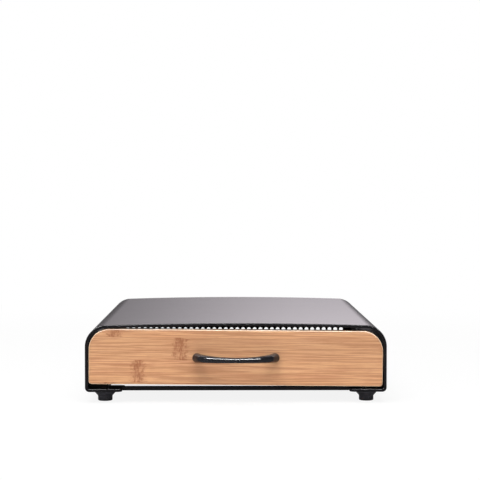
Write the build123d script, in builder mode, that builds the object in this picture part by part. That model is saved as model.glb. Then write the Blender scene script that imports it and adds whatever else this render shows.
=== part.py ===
from build123d import *
import math
import os

os.makedirs("parts", exist_ok=True)

# A low steel housing that stands on four rubber feet, with a drawer that slides out
# of its front. +X is right, the front faces -Y, +Z is up, and Z = 0 is the surface
# that the feet stand on. All sizes are in millimetres.

# ---------------------------------------------------------------- driving sizes
# Housing: one bent steel sheet, open at the front, at the back and between its flanges
body_width = 280.0
body_depth = 330.0
body_top = 74.2
crown_rise = 2.6
sheet = 1.2
hem = 2.8
hem_width = 8.0
hem_edge_radius = 1.0
top_bend = 17.2
bottom_bend = 1.2
flange_width = 20.0
foot_tab_width = 34.0
foot_tab_depth = 40.0
foot_tab_corner = 5.0
bend_margin = 0.15

# Feet and what holds them
foot_height = 10.2
foot_inset_side = 17.2
foot_inset_end = 20.0
foot_top_diameter = 19.4
foot_base_diameter = 13.6
foot_rim = 2.6
foot_taper = 3.0
foot_edge_radius = 1.0
foot_bore_depth = 4.8

# Machine screws of one size, their nuts and washers
screw_diameter = 4.0
screw_head_diameter = 7.8
screw_head_height = 2.6
screw_head_round = 0.9
nut_width = 7.0
nut_height = 3.2
washer_diameter = 9.0
washer_thickness = 0.8
screw_clearance = 0.2
thread_clearance = 0.05
foot_screw_length = 10.6
handle_screw_length = 16.0

# Cross rails between the foot tabs
front_rail_height = 4.3
rear_rail_height = 15.8
rail_leg = 12.0
rail_bend = 1.0
rail_end_gap = 1.5
notch_gap = 0.3

# Glide rails that carry the tray, and the rivets that hold them
runner_height = 4.5
runner_width = 18.8
runner_fence = 5.0
runner_fence_height = 8.0
runner_end_gap = 3.0
nut_notch_gap = 0.5
rivet_diameter = 3.2
rivet_head_diameter = 6.0
rivet_head_height = 1.0
rivets_per_runner = 3
rivet_end_inset = 60.0

# Hold-down angles that keep the open tray level
hold_down_drop = 9.0
hold_down_reach = 8.3
hold_down_end_gap = 4.0

# Clearances between what slides
slide_gap = 0.3
side_gap = 0.5
front_gap = 0.65
front_to_rail_gap = 0.4

# Wooden front
front_thickness = 10.0
front_height = 51.5
front_lift = 0.2
front_recess = 0.5
front_corner_radius = 19.0
front_low_corner_radius = 3.0
front_edge_radius = 1.3
front_back_radius = 0.65
front_skew = 0.55

# Tray of perforated steel
tray_sheet = 1.0
plate_sheet = 1.2
tray_height = 32.0
tray_depth = 300.0
tray_rim = 4.0
tray_foot = 6.0
plate_lip = 6.0
hole_diameter = 4.4
hole_pitch = 6.6
hole_rows = 5
hole_first_row = 4.35
hole_end_margin = 9.0

# Bow handle
handle_spacing = 72.0
handle_rise = 22.6
handle_foot_length = 3.0
handle_end_diameter = 8.8
handle_middle_height = 5.0
handle_middle_depth = 6.2
handle_taper_power = 1.6
handle_stations = 13
handle_bore_spare = 0.6

# Wood screws that hold the front on the tray
wood_screw_diameter = 3.5
wood_screw_head_diameter = 7.0
wood_screw_head_height = 2.2
wood_screw_head_round = 1.1
wood_screw_length = 9.0
wood_screw_side_inset = 23.3
wood_screw_inset = 7.0

# Travel and stops
travel = 250.0
stop_inset = 38.3
stop_width = 20.0
stop_leg = 14.0
stop_drop = 3.3
stop_rivet_spacing = 10.0
bumper_diameter = 8.0
bumper_thickness = 3.0
bumper_round = 0.75
bumper_inset = 28.5
bumper_height = 8.0

# ------------------------------------------------------------- worked out sizes
flange_bottom = foot_height
flange_top = flange_bottom + sheet
flange_inner = body_width / 2 - flange_width
tab_inner = body_width / 2 - foot_tab_width
wall_inner = body_width / 2 - sheet
top_corner_outer = top_bend + hem
bottom_corner_outer = bottom_bend + hem
hem_round = min(hem_edge_radius, bottom_bend - bend_margin)

front_width = body_width - 2 * (hem + front_gap)
runner_top = flange_top + runner_height
tray_bottom = runner_top + slide_gap
tray_floor_top = tray_bottom + tray_sheet
tray_top = tray_bottom + tray_height
front_bottom = tray_bottom + front_lift
front_middle_z = front_bottom + front_height / 2

handle_out = handle_rise + handle_middle_depth / 2 - front_recess

# The whole object, handle included, is centred on the origin from front to back
front = (handle_out - body_depth) / 2
back = front + body_depth

front_face = front + front_recess
front_back = front_face + front_thickness
plate_back = front_back + plate_sheet
tray_back = front_back + tray_depth
tray_half = body_width / 2 - sheet - runner_fence - side_gap
rail_half = wall_inner - runner_width - rail_end_gap
rail_face = front_back + front_to_rail_gap
rear_rail_face = tray_back + slide_gap + bumper_thickness
stop_face = rail_face + sheet + travel + slide_gap
stop_x = tray_half - stop_inset

foot_x = body_width / 2 - foot_inset_side
foot_places = [
    ("front_left", -foot_x, front + foot_inset_end),
    ("front_right", foot_x, front + foot_inset_end),
    ("rear_left", -foot_x, back - foot_inset_end),
    ("rear_right", foot_x, back - foot_inset_end),
]
foot_centres = [(x, y) for _, x, y in foot_places]
screw_radius = screw_diameter / 2
screw_hole = screw_radius + screw_clearance
rivet_hole = rivet_diameter / 2 + thread_clearance

runner_length = body_depth - 2 * runner_end_gap - (front_back - front) - hem_width
runner_start = front_back + runner_end_gap
rivet_top = runner_top - slide_gap
rivet_pitch = (runner_length - 2 * rivet_end_inset) / (rivets_per_runner - 1)
rivet_x = wall_inner - runner_fence - (runner_width - runner_fence) / 2
rivet_places = [
    (side * rivet_x, runner_start + rivet_end_inset + row * rivet_pitch)
    for side in (-1, 1)
    for row in range(rivets_per_runner)
]
stop_rivet_places = [
    (side * stop_x + step * stop_rivet_spacing / 2, stop_face + tray_sheet + stop_leg / 2)
    for side in (-1, 1)
    for step in (-1, 1)
]


def cross_plane(y):
    """Upright plane across the drawer at y: sketch x is X and sketch y is Z."""
    return Plane(origin=(0, y, 0), x_dir=(1, 0, 0), z_dir=(0, -1, 0))


def side_plane(x):
    """Upright plane along the drawer at x: sketch x is Y and sketch y is Z."""
    return Plane(origin=(x, 0, 0), x_dir=(0, 1, 0), z_dir=(1, 0, 0))


def housing_section(inset):
    """Filled outline of the housing's section, set in from its outside by inset."""
    half = body_width / 2 - inset
    low = flange_bottom + inset
    crown = body_top - inset
    shoulder = crown - crown_rise
    with BuildSketch() as section:
        with BuildLine():
            Polyline((half, shoulder), (half, low), (-half, low), (-half, shoulder))
            ThreePointArc((-half, shoulder), (0, crown), (half, shoulder))
        make_face()
        fillet(section.vertices().group_by(Axis.Y)[-1], radius=top_corner_outer - inset)
        fillet(section.vertices().group_by(Axis.Y)[0], radius=bottom_corner_outer - inset)
    return section.sketch


# ---------------------------------------------------------------- housing shell
with BuildPart() as housing_shell:
    with BuildSketch(cross_plane(front)):
        add(housing_section(0))
        add(housing_section(sheet), mode=Mode.SUBTRACT)
    extrude(amount=-body_depth)
    # the sheet is folded back on itself along the front and the rear edge
    for hem_start in (front, back - hem_width):
        with BuildSketch(cross_plane(hem_start)):
            add(housing_section(sheet / 2))
            add(housing_section(hem), mode=Mode.SUBTRACT)
        extrude(amount=-hem_width)
    # open bottom between the two flanges, which are wider where the feet are
    with BuildSketch(Plane.XY.offset(flange_bottom)):
        with Locations((0, front)):
            Rectangle(2 * tab_inner, body_depth, align=(Align.CENTER, Align.MIN))
        with Locations((0, front + foot_tab_depth)):
            Rectangle(2 * flange_inner, body_depth - 2 * foot_tab_depth, align=(Align.CENTER, Align.MIN))
    extrude(amount=hem, mode=Mode.SUBTRACT)
    for end in (0, -1):
        tab_ends = (
            housing_shell.faces()
            .sort_by(Axis.Y)[end]
            .edges()
            .filter_by(Axis.Z)
            .filter_by_position(Axis.X, -tab_inner - sheet, tab_inner + sheet)
        )
        fillet(tab_ends, radius=foot_tab_corner)
    fillet(housing_shell.faces().sort_by(Axis.Y)[0].edges(), radius=hem_round)
    fillet(housing_shell.faces().sort_by(Axis.Y)[-1].edges(), radius=hem_round)
    # holes for the foot screws and for the runner rivets
    with BuildSketch(Plane.XY.offset(flange_bottom)):
        with Locations(foot_centres):
            Circle(screw_hole)
        with Locations(rivet_places):
            Circle(rivet_hole)
    extrude(amount=sheet, mode=Mode.SUBTRACT)
housing_shell.part.label = "housing_shell"
export_step(housing_shell.part, "parts/housing_shell.step")


# ------------------------------------------------------------------------- feet
for foot_name, x, y in foot_places:
    with BuildPart() as foot:
        with BuildSketch(Plane(origin=(x, y, 0), x_dir=(1, 0, 0), z_dir=(0, -1, 0))):
            with BuildLine():
                Polyline(
                    (0, 0),
                    (foot_base_diameter / 2, 0),
                    (foot_base_diameter / 2, foot_height - foot_rim - foot_taper),
                    (foot_top_diameter / 2, foot_height - foot_rim),
                    (foot_top_diameter / 2, foot_height),
                    (0, foot_height),
                    close=True,
                )
            make_face()
        revolve(axis=Axis((x, y, 0), (0, 0, 1)))
        fillet(foot.faces().sort_by(Axis.Z)[0].edges(), radius=foot_edge_radius)
        with BuildSketch(Plane.XY):
            with Locations((x, y)):
                Circle((washer_diameter + screw_clearance) / 2)
        extrude(amount=foot_bore_depth, mode=Mode.SUBTRACT)
        with BuildSketch(Plane.XY):
            with Locations((x, y)):
                Circle(screw_hole)
        extrude(amount=foot_height, mode=Mode.SUBTRACT)
    foot.part.label = f"foot_{foot_name}"
    export_step(foot.part, f"parts/foot_{foot_name}.step")

washer_low = foot_bore_depth - washer_thickness

with BuildPart() as foot_washers:
    with BuildSketch(Plane.XY.offset(washer_low)):
        with Locations(foot_centres):
            Circle(washer_diameter / 2)
            Circle(screw_hole, mode=Mode.SUBTRACT)
    extrude(amount=washer_thickness)
foot_washers.part.label = "foot_washers"
export_step(foot_washers.part, "parts/foot_washers.step")

with BuildPart() as foot_screws:
    with BuildSketch(Plane.XY.offset(washer_low - screw_head_height)):
        with Locations(foot_centres):
            Circle(screw_head_diameter / 2)
    extrude(amount=screw_head_height)
    head_faces = foot_screws.faces().sort_by(Axis.Z)[: len(foot_centres)]
    fillet(head_faces.edges(), radius=screw_head_round)
    with BuildSketch(Plane.XY.offset(washer_low)):
        with Locations(foot_centres):
            Circle(screw_radius)
    extrude(amount=foot_screw_length)
foot_screws.part.label = "foot_screws"
export_step(foot_screws.part, "parts/foot_screws.step")

with BuildPart() as foot_nuts:
    with BuildSketch(Plane.XY.offset(flange_top)):
        with Locations(foot_centres):
            RegularPolygon(nut_width / 2, side_count=6, major_radius=False, rotation=30)
            Circle(screw_radius + thread_clearance, mode=Mode.SUBTRACT)
    extrude(amount=nut_height)
foot_nuts.part.label = "foot_nuts"
export_step(foot_nuts.part, "parts/foot_nuts.step")


# ------------------------------------------------------------------ cross rails
def cross_rail(face_y, height):
    """Angle across the bottom: its upright stands on the foot tabs, its leg lies between."""
    between = tab_inner - notch_gap
    with BuildPart() as rail:
        with BuildSketch(cross_plane(face_y)):
            with Locations((0, flange_top)):
                Rectangle(2 * rail_half, height - sheet, align=(Align.CENTER, Align.MIN))
            with Locations((0, flange_bottom)):
                Rectangle(2 * between, height, align=(Align.CENTER, Align.MIN))
        extrude(amount=-sheet)
        with BuildSketch(Plane.XY.offset(flange_bottom)):
            with Locations((0, face_y)):
                Rectangle(2 * between, rail_leg, align=(Align.CENTER, Align.MIN))
        extrude(amount=sheet)
        bend = (
            rail.edges()
            .filter_by(Axis.X)
            .filter_by_position(Axis.Y, face_y - notch_gap, face_y + notch_gap)
            .sort_by(Axis.Z)[0]
        )
        fillet(bend, radius=min(rail_bend, sheet))
    return rail.part


front_rail = cross_rail(rail_face, front_rail_height)
front_rail.label = "front_rail"
export_step(front_rail, "parts/front_rail.step")

rear_rail = cross_rail(rear_rail_face, rear_rail_height)
rear_rail.label = "rear_rail"
export_step(rear_rail, "parts/rear_rail.step")

for side, side_name in ((-1, "left"), (1, "right")):
    with BuildPart() as bumper:
        with BuildSketch(cross_plane(rear_rail_face - bumper_thickness)):
            with Locations((side * (rail_half - bumper_inset), flange_top + bumper_height)):
                Circle(bumper_diameter / 2)
        extrude(amount=-bumper_thickness)
        fillet(bumper.faces().sort_by(Axis.Y)[0].edges(), radius=bumper_round)
    bumper.part.label = f"rear_bumper_{side_name}"
    export_step(bumper.part, f"parts/rear_bumper_{side_name}.step")

# ----------------------------------------------------------------- glide rails
nut_notch_radius = nut_width / math.sqrt(3) + nut_notch_gap
for side, side_name in ((-1, "left"), (1, "right")):
    inward = Align.MIN if side < 0 else Align.MAX
    outward = Align.MAX if side < 0 else Align.MIN
    side_nuts = [place for place in foot_centres if place[0] * side > 0]
    side_rivets = [place for place in rivet_places if place[0] * side > 0]
    with BuildPart() as runner:
        with BuildSketch(cross_plane(runner_start)):
            with Locations((side * wall_inner, flange_top)):
                Rectangle(runner_width, runner_height, align=(inward, Align.MIN))
                Rectangle(runner_fence, runner_height + runner_fence_height, align=(inward, Align.MIN))
        extrude(amount=-runner_length)
        # the low outer edge clears the bend of the housing
        low_edge = runner.edges().filter_by(Axis.Y).group_by(Axis.Z)[0].sort_by(Axis.X)
        chamfer(low_edge[0] if side < 0 else low_edge[-1], length=bottom_corner_outer - sheet)
        # open notches round the nuts of the feet
        with BuildSketch(Plane.XY.offset(flange_top)):
            with Locations(side_nuts):
                Circle(nut_notch_radius)
                Rectangle(runner_width, 2 * nut_notch_radius, align=(outward, Align.CENTER))
            with Locations(side_rivets):
                Circle(rivet_hole)
        extrude(amount=runner_height, mode=Mode.SUBTRACT)
        with BuildSketch(Plane.XY.offset(rivet_top - rivet_head_height)):
            with Locations(side_rivets):
                Circle(rivet_head_diameter / 2 + thread_clearance)
        extrude(amount=rivet_head_height + slide_gap, mode=Mode.SUBTRACT)
    runner.part.label = f"runner_{side_name}"
    export_step(runner.part, f"parts/runner_{side_name}.step")

with BuildPart() as runner_rivets:
    for low, diameter, length in (
        (flange_bottom - rivet_head_height, rivet_head_diameter, rivet_head_height),
        (flange_bottom, rivet_diameter, rivet_top - flange_bottom),
        (rivet_top - rivet_head_height, rivet_head_diameter, rivet_head_height),
    ):
        with BuildSketch(Plane.XY.offset(low)):
            with Locations(rivet_places):
                Circle(diameter / 2)
        extrude(amount=length)
runner_rivets.part.label = "runner_rivets"
export_step(runner_rivets.part, "parts/runner_rivets.step")

# ------------------------------------------------------------ hold-down angles
hold_down_low = tray_top + slide_gap
hold_down_length = body_depth - 2 * hem_width - 2 * hold_down_end_gap
for side, side_name in ((-1, "left"), (1, "right")):
    with BuildPart() as hold_down:
        with BuildSketch(cross_plane(front + hem_width + hold_down_end_gap)):
            inward = Align.MIN if side < 0 else Align.MAX
            with Locations((side * wall_inner, hold_down_low + sheet)):
                Rectangle(hold_down_reach, sheet, align=(inward, Align.MAX))
                Rectangle(sheet, hold_down_drop, align=(inward, Align.MAX))
        extrude(amount=-hold_down_length)
    hold_down.part.label = f"hold_down_{side_name}"
    export_step(hold_down.part, f"parts/hold_down_{side_name}.step")

# ------------------------------------------------------------------ wooden front
wood_screw_hole = wood_screw_diameter / 2 + thread_clearance
handle_bore = handle_screw_length - front_thickness - plate_sheet - washer_thickness
handle_places = [(-handle_spacing / 2, front_middle_z), (handle_spacing / 2, front_middle_z)]
wood_screw_places = [
    (side * (tray_half - wood_screw_side_inset), z)
    for side in (-1, 1)
    for z in (tray_bottom + wood_screw_inset, tray_top - wood_screw_inset)
]

with BuildPart() as wooden_front:
    with BuildSketch(cross_plane(front_face)) as outline:
        with Locations(Location((0, front_middle_z, 0), (0, 0, -front_skew))):
            Rectangle(front_width, front_height)
        fillet(outline.vertices().sort_by(Axis.Y)[2:4], radius=front_corner_radius)
        fillet(outline.vertices().sort_by(Axis.Y)[0:2], radius=front_low_corner_radius)
    extrude(amount=-front_thickness)
    fillet(wooden_front.faces().sort_by(Axis.Y)[0].edges(), radius=front_edge_radius)
    fillet(wooden_front.faces().sort_by(Axis.Y)[-1].edges(), radius=front_back_radius)
    with BuildSketch(cross_plane(front_face)):
        with Locations(handle_places):
            Circle(screw_hole)
    extrude(amount=-front_thickness, mode=Mode.SUBTRACT)
    with BuildSketch(cross_plane(front_back)):
        with Locations(wood_screw_places):
            Circle(wood_screw_hole)
    extrude(amount=wood_screw_length - plate_sheet, mode=Mode.SUBTRACT)
wooden_front.part.label = "wooden_front"
export_step(wooden_front.part, "parts/wooden_front.step")

# -------------------------------------------------------------------- bow handle
bow_rise = handle_rise - handle_foot_length
bow_half = handle_spacing / 2
bow_radius = (bow_half**2 + bow_rise**2) / (2 * bow_rise)
bow_angle = math.asin(bow_half / bow_radius)
bow_centre_y = front_face - handle_rise + bow_radius


def bow_section_size(share):
    """Depth and height of the handle's section, share being 0 at mid-span and 1 at an end."""
    swell = share**handle_taper_power
    depth = handle_middle_depth + (handle_end_diameter - handle_middle_depth) * swell
    height = handle_middle_height + (handle_end_diameter - handle_middle_height) * swell
    return depth, height


def handle_foot_plane(side, y):
    """Plane of a handle foot's section at y, turned the way that the loft runs."""
    centre = (side * bow_half, y, front_middle_z)
    return Plane(origin=centre, x_dir=(side, 0, 0), z_dir=(0, side, 0))


with BuildPart() as bow_handle:
    for y in (front_face, front_face - handle_foot_length):
        with BuildSketch(handle_foot_plane(-1, y)):
            Circle(handle_end_diameter / 2)
    for station in range(1, handle_stations - 1):
        share = 2 * station / (handle_stations - 1) - 1
        angle = share * bow_angle
        across = (math.sin(angle), -math.cos(angle), 0)
        along = (math.cos(angle), math.sin(angle), 0)
        centre = (bow_radius * across[0], bow_centre_y + bow_radius * across[1], front_middle_z)
        depth, height = bow_section_size(abs(share))
        with BuildSketch(Plane(origin=centre, x_dir=across, z_dir=along)):
            Ellipse(depth / 2, height / 2)
    for y in (front_face - handle_foot_length, front_face):
        with BuildSketch(handle_foot_plane(1, y)):
            Circle(handle_end_diameter / 2)
    loft()
    with BuildSketch(cross_plane(front_face)):
        with Locations(handle_places):
            Circle(screw_radius + thread_clearance)
    extrude(amount=handle_bore + handle_bore_spare, mode=Mode.SUBTRACT)
bow_handle.part.label = "bow_handle"
export_step(bow_handle.part, "parts/bow_handle.step")

# ---------------------------------------------------------------------- the tray
lip_width = 2 * (tray_half - tray_sheet - slide_gap)
with BuildPart() as tray_front_plate:
    with BuildSketch(cross_plane(front_back)):
        with Locations((0, tray_bottom)):
            Rectangle(2 * tray_half, tray_height, align=(Align.CENTER, Align.MIN))
        with Locations(handle_places):
            Circle(screw_hole, mode=Mode.SUBTRACT)
        with Locations(wood_screw_places):
            Circle(wood_screw_hole, mode=Mode.SUBTRACT)
    extrude(amount=-plate_sheet)
    # the top edge is folded back over the tray
    with BuildSketch(Plane.XY.offset(tray_top - plate_sheet)):
        with Locations((0, front_back)):
            Rectangle(lip_width, plate_lip, align=(Align.CENTER, Align.MIN))
    extrude(amount=plate_sheet)
tray_front_plate.part.label = "tray_front_plate"
export_step(tray_front_plate.part, "parts/tray_front_plate.step")

with BuildPart() as tray_floor:
    with BuildSketch(Plane.XY.offset(tray_bottom)):
        with Locations((0, plate_back)):
            Rectangle(2 * tray_half, tray_back - plate_back, align=(Align.CENTER, Align.MIN))
        with Locations(stop_rivet_places):
            Circle(rivet_hole, mode=Mode.SUBTRACT)
    extrude(amount=tray_sheet)
tray_floor.part.label = "tray_floor"
export_step(tray_floor.part, "parts/tray_floor.step")


def hole_field(length, middle):
    """Centres of the staggered holes of a wall panel of this length about its middle."""
    row_pitch = hole_pitch * math.sqrt(3) / 2
    whole = int((length - 2 * hole_end_margin) / hole_pitch)
    centres = []
    for row in range(hole_rows):
        count = whole + (row % 2)
        for column in range(count):
            along = middle + (column - (count - 1) / 2) * hole_pitch
            centres.append((along, tray_floor_top + hole_first_row + row * row_pitch))
    return centres


side_wall_length = tray_back - plate_back
side_wall_middle = (tray_back + plate_back) / 2
wall_height = tray_top - tray_floor_top
for side, side_name in ((-1, "left"), (1, "right")):
    inward = Align.MIN if side < 0 else Align.MAX
    outward = Align.MAX if side < 0 else Align.MIN
    with BuildPart() as side_wall:
        # upright wall, with its rim folded outwards
        with BuildSketch(cross_plane(plate_back)):
            with Locations((side * tray_half, tray_floor_top)):
                Rectangle(tray_sheet, wall_height, align=(inward, Align.MIN))
            with Locations((side * (tray_half - tray_sheet), tray_top)):
                Rectangle(tray_rim, tray_sheet, align=(outward, Align.MAX))
        extrude(amount=-side_wall_length)
        # its foot is folded inwards and ends at the rear wall
        with BuildSketch(cross_plane(plate_back)):
            with Locations((side * tray_half, tray_floor_top)):
                Rectangle(tray_foot, tray_sheet, align=(inward, Align.MIN))
        extrude(amount=tray_sheet - side_wall_length)
        with BuildSketch(side_plane(side * tray_half)):
            with Locations(hole_field(side_wall_length, side_wall_middle)):
                Circle(hole_diameter / 2)
        extrude(amount=-side * tray_sheet, mode=Mode.SUBTRACT)
    side_wall.part.label = f"tray_wall_{side_name}"
    export_step(side_wall.part, f"parts/tray_wall_{side_name}.step")

rear_wall_width = 2 * (tray_half - tray_sheet)
rear_foot_width = 2 * (tray_half - tray_foot - slide_gap)
with BuildPart() as rear_wall:
    # upright wall, with its rim folded backwards
    with BuildSketch(cross_plane(tray_back - tray_sheet)):
        with Locations((0, tray_floor_top)):
            Rectangle(rear_wall_width, wall_height, align=(Align.CENTER, Align.MIN))
    extrude(amount=-tray_sheet)
    with BuildSketch(Plane.XY.offset(tray_top - tray_sheet)):
        with Locations((0, tray_back - tray_sheet)):
            Rectangle(rear_wall_width, tray_rim, align=(Align.CENTER, Align.MIN))
    extrude(amount=tray_sheet)
    # its foot is folded forwards, between the feet of the side walls
    with BuildSketch(Plane.XY.offset(tray_floor_top)):
        with Locations((0, tray_back)):
            Rectangle(rear_foot_width, tray_foot, align=(Align.CENTER, Align.MAX))
    extrude(amount=tray_sheet)
    with BuildSketch(cross_plane(tray_back - tray_sheet)):
        with Locations(hole_field(rear_wall_width, 0)):
            Circle(hole_diameter / 2)
    extrude(amount=-tray_sheet, mode=Mode.SUBTRACT)
rear_wall.part.label = "tray_wall_rear"
export_step(rear_wall.part, "parts/tray_wall_rear.step")

# --------------------------------------------------------- screws of the drawer
with BuildPart() as handle_washers:
    with BuildSketch(cross_plane(plate_back)):
        with Locations(handle_places):
            Circle(washer_diameter / 2)
            Circle(screw_hole, mode=Mode.SUBTRACT)
    extrude(amount=-washer_thickness)
handle_washers.part.label = "handle_washers"
export_step(handle_washers.part, "parts/handle_washers.step")

with BuildPart() as handle_screws:
    with BuildSketch(cross_plane(plate_back + washer_thickness)):
        with Locations(handle_places):
            Circle(screw_head_diameter / 2)
    extrude(amount=-screw_head_height)
    head_faces = handle_screws.faces().sort_by(Axis.Y)[-len(handle_places) :]
    fillet(head_faces.edges(), radius=screw_head_round)
    with BuildSketch(cross_plane(plate_back + washer_thickness)):
        with Locations(handle_places):
            Circle(screw_radius)
    extrude(amount=handle_screw_length)
handle_screws.part.label = "handle_screws"
export_step(handle_screws.part, "parts/handle_screws.step")

with BuildPart() as front_screws:
    with BuildSketch(cross_plane(plate_back)):
        with Locations(wood_screw_places):
            Circle(wood_screw_head_diameter / 2)
    extrude(amount=-wood_screw_head_height)
    head_faces = front_screws.faces().sort_by(Axis.Y)[-len(wood_screw_places) :]
    fillet(head_faces.edges(), radius=wood_screw_head_round)
    with BuildSketch(cross_plane(plate_back)):
        with Locations(wood_screw_places):
            Circle(wood_screw_diameter / 2)
    extrude(amount=wood_screw_length)
front_screws.part.label = "front_screws"
export_step(front_screws.part, "parts/front_screws.step")

# ------------------------------------------------------------------ travel stops
for side, side_name in ((-1, "left"), (1, "right")):
    side_rivets = [place for place in stop_rivet_places if place[0] * side > 0]
    with BuildPart() as stop_bracket:
        with BuildSketch(side_plane(side * stop_x - stop_width / 2)):
            with Locations((stop_face, tray_bottom)):
                Rectangle(stop_leg, tray_sheet, align=(Align.MIN, Align.MAX))
                Rectangle(tray_sheet, stop_drop, align=(Align.MIN, Align.MAX))
        extrude(amount=stop_width)
        with BuildSketch(Plane.XY.offset(tray_bottom)):
            with Locations(side_rivets):
                Circle(rivet_hole)
        extrude(amount=-tray_sheet, mode=Mode.SUBTRACT)
    stop_bracket.part.label = f"stop_bracket_{side_name}"
    export_step(stop_bracket.part, f"parts/stop_bracket_{side_name}.step")

with BuildPart() as stop_rivets:
    for low, diameter, length in (
        (tray_bottom - tray_sheet - rivet_head_height, rivet_head_diameter, rivet_head_height),
        (tray_bottom - tray_sheet, rivet_diameter, 2 * tray_sheet),
        (tray_floor_top, rivet_head_diameter, rivet_head_height),
    ):
        with BuildSketch(Plane.XY.offset(low)):
            with Locations(stop_rivet_places):
                Circle(diameter / 2)
        extrude(amount=length)
stop_rivets.part.label = "stop_rivets"
export_step(stop_rivets.part, "parts/stop_rivets.step")
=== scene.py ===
"""Looks of a low steel coffee pod drawer with a bamboo front, on rubber feet."""

import logging
import math
from dataclasses import dataclass, field
from enum import Enum
from typing import Any, Callable, Iterable, Sequence

import bmesh
import bpy
from mathutils import Matrix, Vector


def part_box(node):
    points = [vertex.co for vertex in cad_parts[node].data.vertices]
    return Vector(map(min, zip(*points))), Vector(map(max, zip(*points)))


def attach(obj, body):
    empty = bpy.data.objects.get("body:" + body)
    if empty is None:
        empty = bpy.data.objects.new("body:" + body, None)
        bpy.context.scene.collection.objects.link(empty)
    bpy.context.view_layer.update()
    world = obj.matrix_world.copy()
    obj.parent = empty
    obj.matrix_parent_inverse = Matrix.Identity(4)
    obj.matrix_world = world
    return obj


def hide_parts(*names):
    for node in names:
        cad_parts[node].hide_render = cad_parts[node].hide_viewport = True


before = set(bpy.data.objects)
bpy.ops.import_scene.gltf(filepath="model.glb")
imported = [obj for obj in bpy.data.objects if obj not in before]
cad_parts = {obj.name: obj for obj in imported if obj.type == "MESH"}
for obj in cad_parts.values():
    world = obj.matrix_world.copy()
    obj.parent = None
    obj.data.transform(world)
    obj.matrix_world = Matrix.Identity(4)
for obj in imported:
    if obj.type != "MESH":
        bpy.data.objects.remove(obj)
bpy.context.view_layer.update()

MM = 0.001
log = logging.getLogger("pod_drawer")

Point2 = tuple[float, float]
Point3 = tuple[float, float, float]
Colour = tuple[float, float, float, float]


class Body(str, Enum):
    """The two bodies of the object."""

    HOUSING = "housing"
    DRAWER = "drawer"


class Slot(str, Enum):
    """Material slots of the record."""

    COAT = "powder_coat"
    BAMBOO = "bamboo"
    HANDLE = "handle_black"
    RUBBER = "rubber"
    NYLON = "nylon"
    ZINC = "zinc_steel"


class Along(Enum):
    """Axis that a section is swept along."""

    X = "x"
    Y = "y"


class Aim(Enum):
    """Way that a fastener's head faces, as Euler angles that turn +Z there."""

    UP = (0.0, 0.0, 0.0)
    DOWN = (math.pi, 0.0, 0.0)
    BACK = (-math.pi / 2, 0.0, 0.0)


class Seen(Enum):
    """What a lamp lights: everything, or only matt or only mirrored light."""

    BOTH = "both"
    MATT = "matt"
    GLOSS = "gloss"


def srgb(red: int, green: int, blue: int) -> Colour:
    """Linear colour of an 8-bit screen colour.

    Args:
        red: Red from 0 to 255.
        green: Green from 0 to 255.
        blue: Blue from 0 to 255.

    Returns:
        The colour with an alpha of 1.
    """
    linear = [
        value / 12.92 if value <= 0.04045 else ((value + 0.055) / 1.055) ** 2.4
        for value in (red / 255, green / 255, blue / 255)
    ]
    return (linear[0], linear[1], linear[2], 1.0)


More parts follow.
